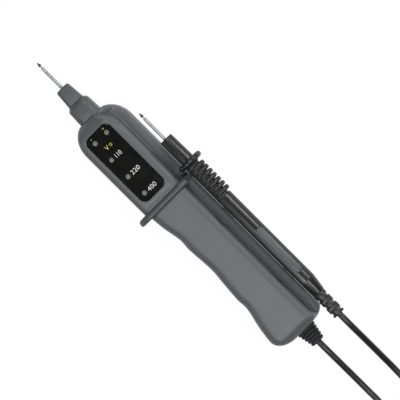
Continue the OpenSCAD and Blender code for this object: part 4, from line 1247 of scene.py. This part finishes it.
class TESTER_OT_inside(bpy.types.Operator):
    """Gives the parts inside the housing and the probe their finishes"""
    bl_idname = "tester.inside"
    bl_label = "Inner parts"

    def execute(self, context):
        colours = context.scene.tester_colours
        finishes = [
            (turned_metal("turned brass", colours.brass, 0.28),
             ["tip_socket", "probe_pin_holder"]),
            (turned_metal("stranded copper", linear("#b9733f"), 0.35),
             ["lead_core", "probe_core"]),
            (eroded_plastic("solder mask on glass epoxy", linear("#2f6b45"), 0.35),
             ["circuit_board"]),
            (eroded_plastic("white nylon", linear("#e6e2d6"), 0.5), ["lamp_carrier"]),
            (eroded_plastic("lacquered ceramic", linear("#c8b28a"), 0.4),
             ["series_resistors"]),
            (eroded_plastic("moulded epoxy", linear("#1f1f22"), 0.4), ["rectifier_diodes"]),
            (eroded_plastic("glass-filled nylon", linear("#8d8f93"), 0.5), ["cable_clamp"]),
            (soft_sheath("soft vinyl inside", colours.lead),
             ["lead_inner_end", "probe_lead_end"]),
        ]
        for material, nodes in finishes:
            for node in nodes:
                mesh = NODES[node].data
                mesh.materials.clear()
                mesh.materials.append(material)
        return {"FINISHED"}


class TESTER_PT_panel(bpy.types.Panel):
    """Lists the tester's sizes, colours and building steps"""
    bl_idname = "TESTER_PT_panel"
    bl_label = "Voltage tester"
    bl_space_type = "VIEW_3D"
    bl_region_type = "UI"
    bl_category = "Tester"

    def draw(self, context):
        layout = self.layout
        for step in STEPS:
            layout.operator(step.bl_idname)
        for group in (context.scene.tester_sizes, context.scene.tester_colours):
            box = layout.box()
            for key in group.bl_rna.properties.keys():
                if key not in ("rna_type", "name"):
                    box.prop(group, key)


STEPS = (
    TESTER_OT_stage, TESTER_OT_lead, TESTER_OT_housing, TESTER_OT_guard,
    TESTER_OT_display, TESTER_OT_nose, TESTER_OT_pins, TESTER_OT_fittings,
    TESTER_OT_probe, TESTER_OT_inside,
)
CLASSES = (TesterSizes, TesterColours, *STEPS, TESTER_PT_panel)


def register():
    for item in CLASSES:
        bpy.utils.register_class(item)
    bpy.types.Scene.tester_sizes = PointerProperty(type=TesterSizes)
    bpy.types.Scene.tester_colours = PointerProperty(type=TesterColours)


def unregister():
    del bpy.types.Scene.tester_colours
    del bpy.types.Scene.tester_sizes
    for item in reversed(CLASSES):
        bpy.utils.unregister_class(item)


def main():
    """Registers the add-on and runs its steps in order."""
    register()
    bpy.ops.tester.stage()
    bpy.ops.tester.lead()
    bpy.ops.tester.housing()
    bpy.ops.tester.guard()
    bpy.ops.tester.display()
    bpy.ops.tester.nose()
    bpy.ops.tester.pins()
    bpy.ops.tester.fittings()
    bpy.ops.tester.probe()
    bpy.ops.tester.inside()


if __name__ == "__main__":
    main()
